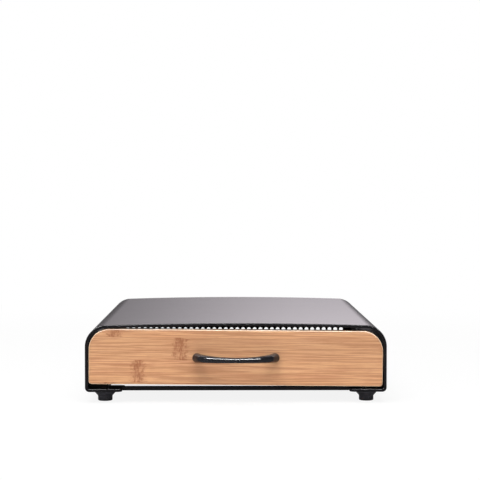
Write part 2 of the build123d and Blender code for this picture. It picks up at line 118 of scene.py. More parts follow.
# ------------------------------------------------------------------ node graphs
class Graph:
    """Adds and links the nodes of one tree."""

    def __init__(self, tree: bpy.types.NodeTree) -> None:
        """Starts on an empty tree.

        Args:
            tree: Tree that the nodes go into.
        """
        self.tree = tree
        self.column = 0

    def add(self, kind: str, inputs: dict[Any, Any] | None = None, **settings: Any) -> bpy.types.Node:
        """Adds a node.

        Args:
            kind: Type of the node.
            inputs: Socket values or links, by name or by number.
            settings: Properties of the node.

        Returns:
            The node.
        """
        node = self.tree.nodes.new(kind)
        self.column += 1
        node.location = (220 * (self.column % 12), -260 * (self.column // 12))
        for key, value in settings.items():
            setattr(node, key, value)
        for key, value in (inputs or {}).items():
            socket = node.inputs[key]
            if isinstance(value, bpy.types.NodeSocket):
                self.tree.links.new(value, socket)
            else:
                socket.default_value = value
        return node

    def math(self, operation: str, *values: Any, clamp: bool = False) -> bpy.types.NodeSocket:
        """Value of a Math node.

        Args:
            operation: Name of the operation.
            values: Its operands, sockets or numbers.
            clamp: Whether the value is held between 0 and 1.

        Returns:
            The output socket.
        """
        inputs = dict(enumerate(values))
        return self.add("ShaderNodeMath", inputs, operation=operation, use_clamp=clamp).outputs[0]

    def vector(self, operation: str, first: Any, second: Any) -> bpy.types.NodeSocket:
        """Vector of a Vector Math node.

        Args:
            operation: Name of the operation.
            first: First operand.
            second: Second operand, which is the Scale of a SCALE.

        Returns:
            The output socket.
        """
        inputs = {0: first, ("Scale" if operation == "SCALE" else 1): second}
        return self.add("ShaderNodeVectorMath", inputs, operation=operation).outputs[0]

    def noise(
        self, place: Any, scale: float, detail: float = 2.0, rough: float = 0.5
    ) -> bpy.types.NodeSocket:
        """Noise from 0 to 1.

        Args:
            place: Where it is read.
            scale: Its scale per metre.
            detail: Number of octaves.
            rough: Share of the finer octaves.

        Returns:
            The factor socket.
        """
        inputs = {"Vector": place, "Scale": scale, "Detail": detail, "Roughness": rough}
        return self.add("ShaderNodeTexNoise", inputs).outputs[0]

    def ramp(self, value: Any, low: float, high: float, out: Point2 = (0.0, 1.0)) -> bpy.types.NodeSocket:
        """Smooth step of a value.

        Args:
            value: Value that is mapped.
            low: Value that gives the first result.
            high: Value that gives the second result.
            out: The two results.

        Returns:
            The result socket.
        """
        inputs = {"Value": value, 1: low, 2: high, 3: out[0], 4: out[1]}
        return self.add("ShaderNodeMapRange", inputs, interpolation_type="SMOOTHSTEP").outputs[0]

    def mix(self, share: Any, first: Any, second: Any, blend: str = "MIX") -> bpy.types.NodeSocket:
        """Colour mixed from two.

        Args:
            share: Share of the second colour.
            first: First colour.
            second: Second colour.
            blend: Way they are mixed.

        Returns:
            The colour socket.
        """
        inputs = {0: share, 6: first, 7: second}
        return self.add("ShaderNodeMix", inputs, data_type="RGBA", blend_type=blend).outputs[2]

    def object_place(self) -> bpy.types.NodeSocket:
        """Object coordinates."""
        return self.add("ShaderNodeTexCoord").outputs["Object"]

    def parts(self, vector: Any) -> list[bpy.types.NodeSocket]:
        """X, Y and Z of a vector.

        Args:
            vector: The vector's socket.

        Returns:
            The three sockets.
        """
        return list(self.add("ShaderNodeSeparateXYZ", {0: vector}).outputs)

    def facing(self) -> list[bpy.types.NodeSocket]:
        """X, Y and Z of the surface's normal."""
        return self.parts(self.add("ShaderNodeNewGeometry").outputs["Normal"])

    def bump(self, height: Any, strength: float, distance: float) -> bpy.types.NodeSocket:
        """Normal of a Bump node.

        Args:
            height: Height from 0 to 1.
            strength: Strength of the bump.
            distance: Real height in metres.

        Returns:
            The normal socket.
        """
        inputs = {"Height": height, "Strength": strength, "Distance": distance}
        return self.add("ShaderNodeBump", inputs).outputs[0]


@dataclass(frozen=True)
class Effect:
    """A shader node group that several finishes share."""

    name: str
    inputs: tuple[tuple[str, str], ...]
    outputs: tuple[tuple[str, str], ...]
    wire: Callable[[Graph, Any, Any], None]

    def tree(self) -> bpy.types.NodeTree:
        """The group's tree, built the first time it is asked for."""
        found = bpy.data.node_groups.get(self.name)
        if found is not None:
            return found
        tree = bpy.data.node_groups.new(self.name, "ShaderNodeTree")
        for name, kind in self.inputs:
            tree.interface.new_socket(name=name, in_out="INPUT", socket_type=kind)
        for name, kind in self.outputs:
            tree.interface.new_socket(name=name, in_out="OUTPUT", socket_type=kind)
        graph = Graph(tree)
        source = graph.add("NodeGroupInput")
        target = graph.add("NodeGroupOutput")
        self.wire(graph, source, target)
        return tree

    def place(self, graph: Graph, values: dict[str, Any]) -> bpy.types.Node:
        """Puts the group into a material.

        Args:
            graph: Graph of the material.
            values: Values and links of its inputs.

        Returns:
            The group node.
        """
        node = graph.tree.nodes.new("ShaderNodeGroup")
        node.node_tree = self.tree()
        for name, value in values.items():
            if isinstance(value, bpy.types.NodeSocket):
                graph.tree.links.new(value, node.inputs[name])
            else:
                node.inputs[name].default_value = value
        return node


FLOAT = "NodeSocketFloat"
VECTOR = "NodeSocketVector"


def wire_orange_peel(graph: Graph, source: Any, target: Any) -> None:
    """Low waves and fine grain of a sprayed or moulded surface.

    Args:
        graph: Graph of the group.
        source: Its input node.
        target: Its output node.
    """
    place = graph.vector("SCALE", source.outputs["Place"], source.outputs["Density"])
    waves = graph.noise(place, 1.0, 2.0, 0.45)
    grain = graph.noise(place, 5.3, 2.0, 0.6)
    height = graph.math("ADD", graph.math("MULTIPLY", waves, 0.72), graph.math("MULTIPLY", grain, 0.28))
    graph.tree.links.new(height, target.inputs["Height"])
    spread = graph.math("SUBTRACT", graph.noise(place, 0.035, 4.0, 0.6), 0.5)
    graph.tree.links.new(spread, target.inputs["Gloss"])


def wire_handling(graph: Graph, source: Any, target: Any) -> None:
    """Smudges, hairline scratches and settled dust.

    Args:
        graph: Graph of the group.
        source: Its input node.
        target: Its output node.
    """
    place = source.outputs["Place"]
    smudge = graph.ramp(graph.noise(place, 26.0, 5.0, 0.62), 0.5, 0.72)
    sway = graph.add("ShaderNodeTexNoise", {"Vector": place, "Scale": 9.0}).outputs[1]
    bent = graph.vector("ADD", place, graph.vector("SCALE", sway, 0.01))
    turned = {"Vector": bent, "Rotation": (0.6, 0.35, 0.7), "Scale": (18.0, 900.0, 18.0)}
    slant = graph.add("ShaderNodeMapping", turned).outputs[0]
    hair = graph.ramp(graph.noise(slant, 1.0, 1.0), 0.76, 0.8)
    up = graph.facing()[2]
    specks = graph.ramp(graph.noise(place, 900.0, 2.0, 0.7), 0.6, 0.78)
    film = graph.ramp(graph.noise(place, 14.0, 3.0), 0.3, 0.75, (0.15, 0.6))
    dust = graph.math("MULTIPLY", graph.ramp(up, 0.5, 1.0), graph.math("MAXIMUM", specks, film))
    for name, value in (("Smudge", smudge), ("Scratch", hair), ("Dust", dust)):
        graph.tree.links.new(graph.math("MULTIPLY", value, source.outputs["Amount"]), target.inputs[name])


def wire_worn_edges(graph: Graph, source: Any, target: Any) -> None:
    """Rubbed places on the piece's narrow edge faces.

    Args:
        graph: Graph of the group.
        source: Its input node.
        target: Its output node.
    """
    patches = graph.noise(source.outputs["Place"], 120.0, 4.0, 0.65)
    chips = graph.noise(source.outputs["Place"], 1400.0, 2.0, 0.7)
    rubbing = graph.math("MULTIPLY_ADD", chips, 0.3, graph.math("MULTIPLY", patches, 0.7))
    worn = graph.math("MULTIPLY", graph.ramp(rubbing, 0.48, 0.66), source.outputs["Edge"])
    mask = graph.math("MULTIPLY", worn, source.outputs["Amount"], clamp=True)
    graph.tree.links.new(mask, target.inputs["Mask"])


def wire_fibres(graph: Graph, source: Any, target: Any) -> None:
    """Long fibres that run along X, in broad streaks and in fine pores.

    Args:
        graph: Graph of the group.
        source: Its input node.
        target: Its output node.
    """
    # a number linked to a vector socket fills all three of its parts
    place = graph.vector("ADD", source.outputs["Place"], source.outputs["Shift"])
    calm = graph.vector("MULTIPLY", place, (7.0, 1.0, 16.0))
    sway = graph.add("ShaderNodeTexNoise", {"Vector": calm, "Scale": 1.0, "Detail": 1.0}).outputs[1]
    swayed = graph.vector("ADD", place, graph.vector("MULTIPLY", sway, (0.0, 0.0, 0.0012)))
    broad = graph.noise(graph.vector("MULTIPLY", swayed, (7.0, 60.0, 300.0)), 1.0, 2.0, 0.5)
    lines = graph.noise(graph.vector("MULTIPLY", swayed, (17.0, 150.0, 980.0)), 1.0, 2.0, 0.5)
    pores = graph.noise(graph.vector("MULTIPLY", swayed, (110.0, 1500.0, 3600.0)), 1.0, 2.0, 0.6)
    veins = graph.noise(graph.vector("MULTIPLY", swayed, (6.0, 90.0, 620.0)), 1.0, 1.0, 0.4)
    for name, value in (("Broad", broad), ("Lines", lines), ("Pores", pores), ("Veins", veins)):
        graph.tree.links.new(value, target.inputs[name])


ORANGE_PEEL = Effect(
    "orange_peel",
    (("Place", VECTOR), ("Density", FLOAT)),
    (("Height", FLOAT), ("Gloss", FLOAT)),
    wire_orange_peel,
)
HANDLING = Effect(
    "handling",
    (("Place", VECTOR), ("Amount", FLOAT)),
    (("Smudge", FLOAT), ("Scratch", FLOAT), ("Dust", FLOAT)),
    wire_handling,
)
WORN_EDGES = Effect(
    "worn_edges",
    (("Place", VECTOR), ("Edge", FLOAT), ("Amount", FLOAT)),
    (("Mask", FLOAT),),
    wire_worn_edges,
)
FIBRES = Effect(
    "long_fibres",
    (("Place", VECTOR), ("Shift", FLOAT)),
    (("Broad", FLOAT), ("Lines", FLOAT), ("Pores", FLOAT), ("Veins", FLOAT)),
    wire_fibres,
)


# --------------------------------------------------------------------- finishes
DUST = srgb(150, 146, 140)


@dataclass(frozen=True)
class Finish:
    """Base of the finishes: a name and a material made once."""

    name: str
    slot: Slot

    def material(self) -> bpy.types.Material:
        """The finish's material, built the first time it is asked for."""
        found = bpy.data.materials.get(self.name)
        if found is not None:
            return found
        made = bpy.data.materials.new(self.name)
        made.use_nodes = True
        made.node_tree.nodes.clear()
        graph = Graph(made.node_tree)
        shader = graph.add("ShaderNodeBsdfPrincipled")
        graph.add("ShaderNodeOutputMaterial", {"Surface": shader.outputs[0]})
        self.wire(graph, shader)
        return made

    def wire(self, graph: Graph, shader: bpy.types.Node) -> None:
        """Wires the finish into its shader; each finish has its own.

        Args:
            graph: Graph of the material.
            shader: Its Principled shader.
        """
        raise NotImplementedError

    def feed(self, graph: Graph, shader: bpy.types.Node, links: dict[str, Any]) -> None:
        """Sets or links the shader's sockets.

        Args:
            graph: Graph of the material.
            shader: Its Principled shader.
            links: Values and links by the socket's name.
        """
        for name, value in links.items():
            if isinstance(value, bpy.types.NodeSocket):
                graph.tree.links.new(value, shader.inputs[name])
            else:
                shader.inputs[name].default_value = value


@dataclass(frozen=True)
class CoatedSteel(Finish):
    """Satin black powder coat on steel, with orange peel, handling marks and worn edges."""

    colour: Colour = srgb(23, 22, 24)
    bare: Colour = srgb(70, 70, 74)
    roughness: float = 0.17
    roughness_spread: float = 0.03
    peel_density: float = 1500.0
    peel_depth: float = 0.000008
    dust: float = 0.05
    wear: float = 0.06
    index: float = 1.26

    def wire(self, graph: Graph, shader: bpy.types.Node) -> None:
        """Wires the coat.

        Args:
            graph: Graph of the material.
            shader: Its Principled shader.
        """
        place = graph.object_place()
        peel = ORANGE_PEEL.place(graph, {"Place": place, "Density": self.peel_density})
        marks = HANDLING.place(graph, {"Place": place, "Amount": 1.0})
        edge = graph.add("ShaderNodeAttribute", attribute_name="edge").outputs["Fac"]
        worn = WORN_EDGES.place(graph, {"Place": place, "Edge": edge, "Amount": self.wear}).outputs[0]
        lighter = [channel * 1.25 for channel in self.colour[:3]] + [1.0]
        tone = graph.mix(graph.noise(place, 45.0, 3.0), self.colour, lighter)
        wear_and_rim_highlight = graph.mix(worn, tone, self.bare)
        dusty = graph.mix(graph.math("MULTIPLY", marks.outputs["Dust"], self.dust), wear_and_rim_highlight, DUST)
        rough = graph.math("MULTIPLY_ADD", peel.outputs["Gloss"], self.roughness_spread, self.roughness)
        rough = graph.math("MULTIPLY_ADD", marks.outputs["Smudge"], 0.012, rough)
        rough = graph.math("MULTIPLY_ADD", marks.outputs["Scratch"], 0.012, rough, clamp=True)
        links = {
            "Base Color": dusty,
            "Roughness": rough,
            "Normal": graph.bump(peel.outputs["Height"], 0.5, self.peel_depth),
            "IOR": self.index,
        }
        self.feed(graph, shader, links)


@dataclass(frozen=True)
class LacqueredBamboo(Finish):
    """Flat-pressed bamboo: strips of long fibres with a node across each, under satin lacquer."""

    pale: Colour = srgb(219, 166, 120)
    warm: Colour = srgb(203, 147, 100)
    deep: Colour = srgb(168, 104, 64)
    vein: Colour = srgb(170, 94, 62)
    # pale colour of the painted highlight on the board's rounded rims
    wear_and_rim_highlight: Colour = srgb(255, 224, 188)
    node_brown: Colour = srgb(150, 86, 46)
    core_pale: Colour = srgb(205, 157, 118)
    core_deep: Colour = srgb(150, 104, 70)
    glue: Colour = srgb(120, 78, 50)
    strip_height: float = 20.9 * MM
    strip_low: float = 18.3 * MM
    node_places: tuple[Point2, ...] = ((-118.0, -1.0), (-91.0, 0.0), (-51.5, 1.0), (-113.0, 2.0))
    node_half_width: float = 8.5 * MM
    node_fray: float = 18.0 * MM
    glue_line: Point2 = (0.18 * MM, 0.05 * MM)
    dark_zone: Point2 = (-8.0, 70.0)
    skew: float = math.radians(0.55)
    pivot: Point3 = (0.0, 0.0, 42.15 * MM)
    ply: float = 2.6 * MM
    face_y: float = -151.9 * MM
    thickness: float = 10.0 * MM

    def board_place(self, graph: Graph) -> bpy.types.NodeSocket:
        """Object coordinates turned with the board, which hangs a little out of level.

        Args:
            graph: Graph of the material.

        Returns:
            The place socket.
        """
        centred = graph.vector("SUBTRACT", graph.object_place(), self.pivot)
        turn = {"Vector": centred, "Rotation": (0.0, -self.skew, 0.0)}
        return graph.vector("ADD", graph.add("ShaderNodeMapping", turn).outputs[0], self.pivot)

    def node_shade(self, graph: Graph, place: Any, x: Any, strip: Any) -> bpy.types.NodeSocket:
        """Soft bells over the places where a strip has a node.

        Args:
            graph: Graph of the material.
            place: Place on the board.
            x: Its X.
            strip: Number of the strip.

        Returns:
            The mask socket.
        """
        near_node: Any = 0.0
        ragged = graph.noise(graph.vector("MULTIPLY", place, (160.0, 160.0, 420.0)), 1.0, 3.0, 0.7)
        fray = graph.math("MULTIPLY", graph.math("SUBTRACT", ragged, 0.5), self.node_fray)
        for centre, index in self.node_places:
            offset = graph.math("SUBTRACT", x, centre * MM)
            away = graph.math("ABSOLUTE", graph.math("ADD", offset, fray))
            bell = graph.ramp(away, self.node_half_width, self.node_half_width * 0.25)
            here = graph.math("COMPARE", strip, index, 0.1)
            near_node = graph.math("MULTIPLY_ADD", bell, here, near_node)
        return near_node

    def fibre_tone(self, graph: Graph, fibres: Any) -> bpy.types.NodeSocket:
        """Colour of the fibres: streaks, fine lines, pores and veins.

        Args:
            graph: Graph of the material.
            fibres: Outputs of the fibre group.

        Returns:
            The colour socket.
        """
        streaks = graph.ramp(fibres["Broad"], 0.36, 0.66)
        fine = graph.ramp(fibres["Lines"], 0.44, 0.58)
        pores = graph.ramp(fibres["Pores"], 0.5, 0.7)
        veins = graph.ramp(fibres["Veins"], 0.6, 0.67)
        body = graph.mix(graph.math("MULTIPLY", streaks, 0.45), self.pale, self.warm)
        body = graph.mix(graph.math("MULTIPLY", fine, 0.55), body, self.deep)
        body = graph.mix(graph.math("MULTIPLY", pores, 0.38), body, self.deep)
        return graph.mix(graph.math("MULTIPLY", veins, 0.22), body, self.vein)

    def strip_tone(self, graph: Graph, place: Any, x: Any, strip: Any) -> bpy.types.NodeSocket:
        """Brightness that differs by strip, in patches and towards the middle.

        Args:
            graph: Graph of the material.
            place: Place on the board.
            x: Its X.
            strip: Number of the strip.

        Returns:
            The factor socket.
        """
        chance = graph.add("ShaderNodeTexWhiteNoise", {"W": strip}, noise_dimensions="1D").outputs[0]
        cloud = graph.noise(graph.vector("MULTIPLY", place, (9.0, 9.0, 30.0)), 1.0, 2.0)
        patches = graph.ramp(cloud, 0.35, 0.7, (0.95, 1.03))
        zone_at, zone_half = self.dark_zone
        from_zone = graph.math("ABSOLUTE", graph.math("SUBTRACT", x, zone_at * MM))
        zone = graph.ramp(from_zone, 0.0, zone_half * MM, (0.95, 1.0))
        tone = graph.math("MULTIPLY", graph.math("MULTIPLY_ADD", chance, 0.06, 0.97), patches)
        return graph.math("MULTIPLY", tone, zone)

    def edge_plies(self, graph: Graph, place: Any, y: Any, face_tone: Any) -> bpy.types.NodeSocket:
        """Core and glue lines that the board's edges show, and a painted highlight that makes its rounded
        rims paler.

        Args:
            graph: Graph of the material.
            place: Place on the board.
            y: Its Y.
            face_tone: Colour of the board's face.

        Returns:
            The colour socket.
        """
        inner = self.thickness - self.ply
        depth = graph.math("SUBTRACT", y, self.face_y)
        past_ply = graph.math("GREATER_THAN", depth, self.ply)
        core = graph.math("MULTIPLY", past_ply, graph.math("LESS_THAN", depth, inner))
        end_grain = graph.noise(graph.vector("MULTIPLY", place, (900.0, 300.0, 900.0)), 1.0, 3.0, 0.7)
        core_tone = graph.mix(graph.ramp(end_grain, 0.35, 0.7), self.core_pale, self.core_deep)
        plied = graph.mix(graph.math("MULTIPLY", core, 0.85), face_tone, core_tone)
        from_front = graph.math("ABSOLUTE", graph.math("SUBTRACT", depth, self.ply))
        from_back = graph.math("ABSOLUTE", graph.math("SUBTRACT", depth, inner))
        line = graph.ramp(graph.math("MINIMUM", from_front, from_back), *self.glue_line, (0.0, 0.6))
        glued = graph.mix(line, plied, self.glue)
        # painted highlight: faces whose normal leans about 0.6 towards -Y, the rounded rims, are mixed up
        # to 0.9 towards a pale colour, in place of light caught by the edges
        from_rim = graph.math("ABSOLUTE", graph.math("ADD", graph.facing()[1], 0.6))
        return graph.mix(graph.ramp(from_rim, 0.35, 0.1, (0.0, 0.9)), glued, self.wear_and_rim_highlight)

    def wire(self, graph: Graph, shader: bpy.types.Node) -> None:
        """Wires strips, fibres, nodes across the strips and the plies that the edges show.

        Args:
            graph: Graph of the material.
            shader: Its Principled shader.
        """
        place = self.board_place(graph)
        x, y, z = graph.parts(place)
        strip_at = graph.math("DIVIDE", graph.math("SUBTRACT", z, self.strip_low), self.strip_height)
        strip = graph.math("FLOOR", strip_at)
        within = graph.math("SUBTRACT", strip_at, strip)
        fibres = FIBRES.place(
            graph, {"Place": place, "Shift": graph.math("MULTIPLY", strip, 0.371)}
        ).outputs
        near_node = self.node_shade(graph, place, x, strip)
        knots = graph.noise(graph.vector("MULTIPLY", place, (430.0, 300.0, 150.0)), 1.0, 3.0, 0.75)
        node_mark = graph.math("MULTIPLY", near_node, graph.ramp(knots, 0.35, 0.6), clamp=True)
        toned = graph.vector(
            "SCALE", self.fibre_tone(graph, fibres), self.strip_tone(graph, place, x, strip)
        )
        seam = graph.ramp(graph.math("ABSOLUTE", graph.math("SUBTRACT", within, 0.5)), 0.485, 0.5)
        seamed = graph.mix(graph.math("MULTIPLY", seam, 0.16), toned, self.deep)
        shaded = graph.mix(graph.math("MULTIPLY", near_node, 0.22, clamp=True), seamed, self.deep)
        noded = graph.mix(graph.math("MULTIPLY", node_mark, 0.8), shaded, self.node_brown)
        marks = HANDLING.place(graph, {"Place": place, "Amount": 1.0})
        rough = graph.math("MULTIPLY_ADD", fibres["Pores"], 0.14, 0.36)
        rough = graph.math("MULTIPLY_ADD", marks.outputs["Smudge"], 0.07, rough, clamp=True)
        height = graph.math(
            "MULTIPLY_ADD", fibres["Pores"], 0.55, graph.math("MULTIPLY", fibres["Lines"], 0.45)
        )
        height = graph.math("MULTIPLY_ADD", node_mark, -0.5, height)
        links = {
            "Base Color": self.edge_plies(graph, place, y, noded),
            "Roughness": rough,
            "Normal": graph.bump(height, 0.35, 0.00008),
            "Coat Weight": 0.12,
            "Coat Roughness": 0.25,
        }
        self.feed(graph, shader, links)


@dataclass(frozen=True)
class GlossPaint(Finish):
    """Smooth black gloss paint on cast metal."""

    colour: Colour = srgb(24, 24, 28)

    def wire(self, graph: Graph, shader: bpy.types.Node) -> None:
        """Wires the paint.

        Args:
            graph: Graph of the material.
            shader: Its Principled shader.
        """
        place = graph.object_place()
        peel = ORANGE_PEEL.place(graph, {"Place": place, "Density": 700.0})
        marks = HANDLING.place(graph, {"Place": place, "Amount": 1.0})
        tone = graph.mix(graph.noise(place, 160.0, 3.0), self.colour, srgb(32, 32, 36))
        dusty = graph.mix(graph.math("MULTIPLY", marks.outputs["Dust"], 0.05), tone, DUST)
        rough = graph.math("MULTIPLY_ADD", peel.outputs["Gloss"], 0.06, 0.15)
        rough = graph.math("MULTIPLY_ADD", marks.outputs["Smudge"], 0.05, rough)
        rough = graph.math("MULTIPLY_ADD", marks.outputs["Scratch"], 0.06, rough, clamp=True)
        links = {
            "Base Color": dusty,
            "Roughness": rough,
            "Normal": graph.bump(peel.outputs["Height"], 0.35, 0.00001),
            "IOR": 1.38,
            "Coat Weight": 0.25,
            "Coat Roughness": 0.06,
        }
        self.feed(graph, shader, links)


@dataclass(frozen=True)
class Moulded(Finish):
    """Moulded rubber or nylon: mould texture, flow marks and dust in the grain."""

    colour: Colour = srgb(52, 51, 57)
    light: Colour = srgb(70, 69, 75)
    roughness: float = 0.62
    density: float = 2600.0
    depth: float = 0.00006

    def wire(self, graph: Graph, shader: bpy.types.Node) -> None:
        """Wires the moulded surface.

        Args:
            graph: Graph of the material.
            shader: Its Principled shader.
        """
        place = graph.object_place()
        peel = ORANGE_PEEL.place(graph, {"Place": place, "Density": self.density})
        marks = HANDLING.place(graph, {"Place": place, "Amount": 1.0})
        flow = graph.ramp(
            graph.noise(graph.vector("MULTIPLY", place, (60.0, 60.0, 260.0)), 1.0, 3.0), 0.4, 0.7
        )
        tone = graph.mix(graph.math("MULTIPLY", flow, 0.45), self.colour, self.light)
        dusty = graph.mix(graph.math("MULTIPLY", marks.outputs["Dust"], 0.2), tone, DUST)
        edge = graph.add("ShaderNodeAttribute", attribute_name="edge").outputs["Fac"]
        worn = WORN_EDGES.place(graph, {"Place": place, "Edge": edge, "Amount": 0.25}).outputs[0]
        wear_and_rim_highlight = graph.mix(worn, dusty, self.light)
        rough = graph.math("MULTIPLY_ADD", peel.outputs["Gloss"], 0.2, self.roughness)
        rough = graph.math("MULTIPLY_ADD", marks.outputs["Smudge"], -0.08, rough, clamp=True)
        links = {
            "Base Color": wear_and_rim_highlight,
            "Roughness": rough,
            "Normal": graph.bump(peel.outputs["Height"], 0.6, self.depth),
        }
        self.feed(graph, shader, links)


@dataclass(frozen=True)
class PlatedSteel(Finish):
    """Zinc-plated steel with a faint crystal pattern, turned marks and dull spots."""

    colour: Colour = srgb(206, 206, 202)
    dull: Colour = srgb(150, 150, 150)

    def wire(self, graph: Graph, shader: bpy.types.Node) -> None:
        """Wires the plating.

        Args:
            graph: Graph of the material.
            shader: Its Principled shader.
        """
        place = graph.object_place()
        cells = graph.add("ShaderNodeTexVoronoi", {"Vector": place, "Scale": 1500.0})
        spots = graph.ramp(graph.noise(place, 420.0, 4.0, 0.7), 0.45, 0.75)
        tone = graph.mix(graph.math("MULTIPLY", spots, 0.7), self.colour, self.dull)
        tinted = graph.mix(graph.math("MULTIPLY", cells.outputs["Color"], 0.06), tone, srgb(214, 204, 176))
        marks = HANDLING.place(graph, {"Place": place, "Amount": 1.0})
        rough = graph.math("MULTIPLY_ADD", spots, 0.2, 0.28)
        rough = graph.math("MULTIPLY_ADD", marks.outputs["Scratch"], 0.15, rough, clamp=True)
        height = graph.math("MULTIPLY_ADD", cells.outputs["Distance"], 0.4, graph.noise(place, 3800.0, 2.0))
        links = {
            "Base Color": tinted,
            "Metallic": 1.0,
            "Roughness": rough,
            "Normal": graph.bump(height, 0.25, 0.00002),
        }
        self.feed(graph, shader, links)


COAT = CoatedSteel("satin powder coat", Slot.COAT)
TRAY_COAT = CoatedSteel(
    "tray powder coat", Slot.COAT, roughness=0.36, roughness_spread=0.08, peel_depth=0.00002, dust=0.12
)
BAMBOO = LacqueredBamboo("lacquered bamboo", Slot.BAMBOO)
HANDLE_PAINT = GlossPaint("gloss black paint", Slot.HANDLE)
RUBBER = Moulded("moulded rubber", Slot.RUBBER)
NYLON = Moulded(
    "moulded nylon",
    Slot.NYLON,
    colour=srgb(26, 26, 27),
    light=srgb(46, 46, 47),
    roughness=0.5,
    density=1700.0,
)
ZINC = PlatedSteel("zinc plating", Slot.ZINC)


# ---------------------------------------------------------------- mesh building
def new_object(name: str, mesh: bpy.types.Mesh) -> bpy.types.Object:
    """Object of a mesh, linked to the scene at the origin.

    Args:
        name: Name of the piece.
        mesh: Its mesh.

    Returns:
        The object.
    """
    made = bpy.data.objects.new(name, mesh)
    bpy.context.scene.collection.objects.link(made)
    return made


def mesh_of(work: bmesh.types.BMesh, name: str) -> bpy.types.Mesh:
    """Mesh with outward normals from a finished bmesh, which is freed.

    Args:
        work: The bmesh.
        name: Name of the mesh.

    Returns:
        The mesh.
    """
    bmesh.ops.remove_doubles(work, verts=work.verts, dist=1e-7)
    bmesh.ops.recalc_face_normals(work, faces=work.faces)
    mesh = bpy.data.meshes.new(name)
    work.to_mesh(mesh)
    work.free()
    return mesh


def skin(
    loops: Sequence[Sequence[Point3]], name: str, cap: bool = True, ring: bool = False
) -> bpy.types.Mesh:
    """Skin over a row of closed loops that have the same number of points.

    Args:
        loops: The loops, in metres.
        name: Name of the mesh.
        cap: Whether the first and last loop are filled.
        ring: Whether the last loop joins the first.

    Returns:
        The mesh.
    """
    work = bmesh.new()
    rows = [[work.verts.new(point) for point in loop] for loop in loops]
    count = len(rows[0])
    pairs = list(zip(rows, rows[1:])) + ([(rows[-1], rows[0])] if ring else [])
    for first, second in pairs:
        for index in range(count):
            after = (index + 1) % count
            work.faces.new((first[index], first[after], second[after], second[index]))
    if cap and not ring:
        work.faces.new(rows[0])
        work.faces.new(rows[-1])
    return mesh_of(work, name)


def lathe(profile: Sequence[Point2], steps: int, name: str, centre: Point2 = (0.0, 0.0)) -> bpy.types.Mesh:
    """Closed solid of revolution about an upright axis.

    Args:
        profile: (radius, height) points in metres; a radius of 0 closes on the axis.
        steps: Number of segments.
        name: Name of the mesh.
        centre: X and Y of the axis.

    Returns:
        The mesh.
    """
    work = bmesh.new()
    rings = []
    for radius, height in profile:
        if radius == 0.0:
            rings.append([work.verts.new((centre[0], centre[1], height))])
            continue
        ring = []
        for step in range(steps):
            angle = math.tau * step / steps
            ring.append(
                work.verts.new(
                    (centre[0] + radius * math.cos(angle), centre[1] + radius * math.sin(angle), height)
                )
            )
        rings.append(ring)
    closed = rings + ([] if len(rings[0]) == 1 and len(rings[-1]) == 1 else [rings[0]])
    for first, second in zip(closed, closed[1:]):
        for step in range(steps):
            after = (step + 1) % steps
            if len(first) == 1 and len(second) == 1:
                continue
            if len(first) == 1:
                work.faces.new((first[0], second[step], second[after]))
            elif len(second) == 1:
                work.faces.new((first[step], second[0], first[after]))
            else:
                work.faces.new((first[step], second[step], second[after], first[after]))
    return mesh_of(work, name)


def rounded_path(corners: Sequence[Point2], radius: float, steps: int = 4) -> list[Point2]:
    """Open run of points with its inner corners rounded.

    Args:
        corners: Corners of the run.
        radius: Radius of each bend.
        steps: Segments of a bend.

    Returns:
        The points.
    """
    path = [corners[0]]
    for before, corner, after in zip(corners, corners[1:], corners[2:]):
        at = Vector(corner)
        to_before = (Vector(before) - at).normalized()
        to_after = (Vector(after) - at).normalized()
        turn = to_before.angle(to_after)
        reach = radius / math.tan(turn / 2)
        middle = at + (to_before + to_after).normalized() * (radius / math.sin(turn / 2))
        start = at + to_before * reach - middle
        end = at + to_after * reach - middle
        for step in range(steps + 1):
            share = step / steps
            spoke = start.slerp(end, share) if start.length > 0 else start
            path.append(tuple(middle + spoke))
    path.append(corners[-1])
    return path


def bent_sheet(corners: Sequence[Point2], thickness: float, bend: float) -> list[Point2]:
    """Closed section of a bent sheet about its middle line.

    Args:
        corners: Corners of the middle line.
        thickness: Thickness of the sheet.
        bend: Radius of the middle line in a bend.

    Returns:
        The closed section.
    """
    path = [Vector(point) for point in rounded_path(corners, bend)]
    left, right = [], []
    for index, point in enumerate(path):
        before = path[max(index - 1, 0)]
        after = path[min(index + 1, len(path) - 1)]
        along = (after - before).normalized()
        out = Vector((-along.y, along.x)) * (thickness / 2)
        left.append(tuple(point + out))
        right.append(tuple(point - out))
    return left + right[::-1]


def sweep(section: Sequence[Point2], along: Along, start: float, end: float, name: str) -> bpy.types.Mesh:
    """Prism of a section.

    Args:
        section: Closed section in mm: (Y, Z) along X, or (X, Z) along Y.
        along: Axis of the sweep.
        start: Start in mm.
        end: End in mm.
        name: Name of the mesh.

    Returns:
        The mesh, in metres.
    """
    loops = []
    for place in (start, end):
        if along is Along.X:
            loops.append([(place * MM, u * MM, v * MM) for u, v in section])
        else:
            loops.append([(u * MM, place * MM, v * MM) for u, v in section])
    return skin(loops, name)


def flattened(obj: bpy.types.Object) -> bpy.types.Mesh:
    """Plain mesh of an object with its modifiers, which are removed.

    Args:
        obj: The object.

    Returns:
        The new mesh.
    """
    bpy.context.view_layer.update()
    graph = bpy.context.evaluated_depsgraph_get()
    mesh = bpy.data.meshes.new_from_object(obj.evaluated_get(graph), depsgraph=graph)
    obj.modifiers.clear()
    return mesh


def cut(mesh: bpy.types.Mesh, tool: bpy.types.Mesh, operation: str) -> bpy.types.Mesh:
    """Boolean of two meshes.

    Args:
        mesh: Mesh that is cut.
        tool: Mesh that cuts it.
        operation: DIFFERENCE or INTERSECT.

    Returns:
        The result.
    """
    target = new_object("cut_target", mesh)
    cutter = new_object("cut_tool", tool)
    modifier = target.modifiers.new("cut", "BOOLEAN")
    modifier.operation = operation
    modifier.solver = "EXACT"
    modifier.object = cutter
    result = flattened(target)
    bpy.data.objects.remove(target)
    bpy.data.objects.remove(cutter)
    return result


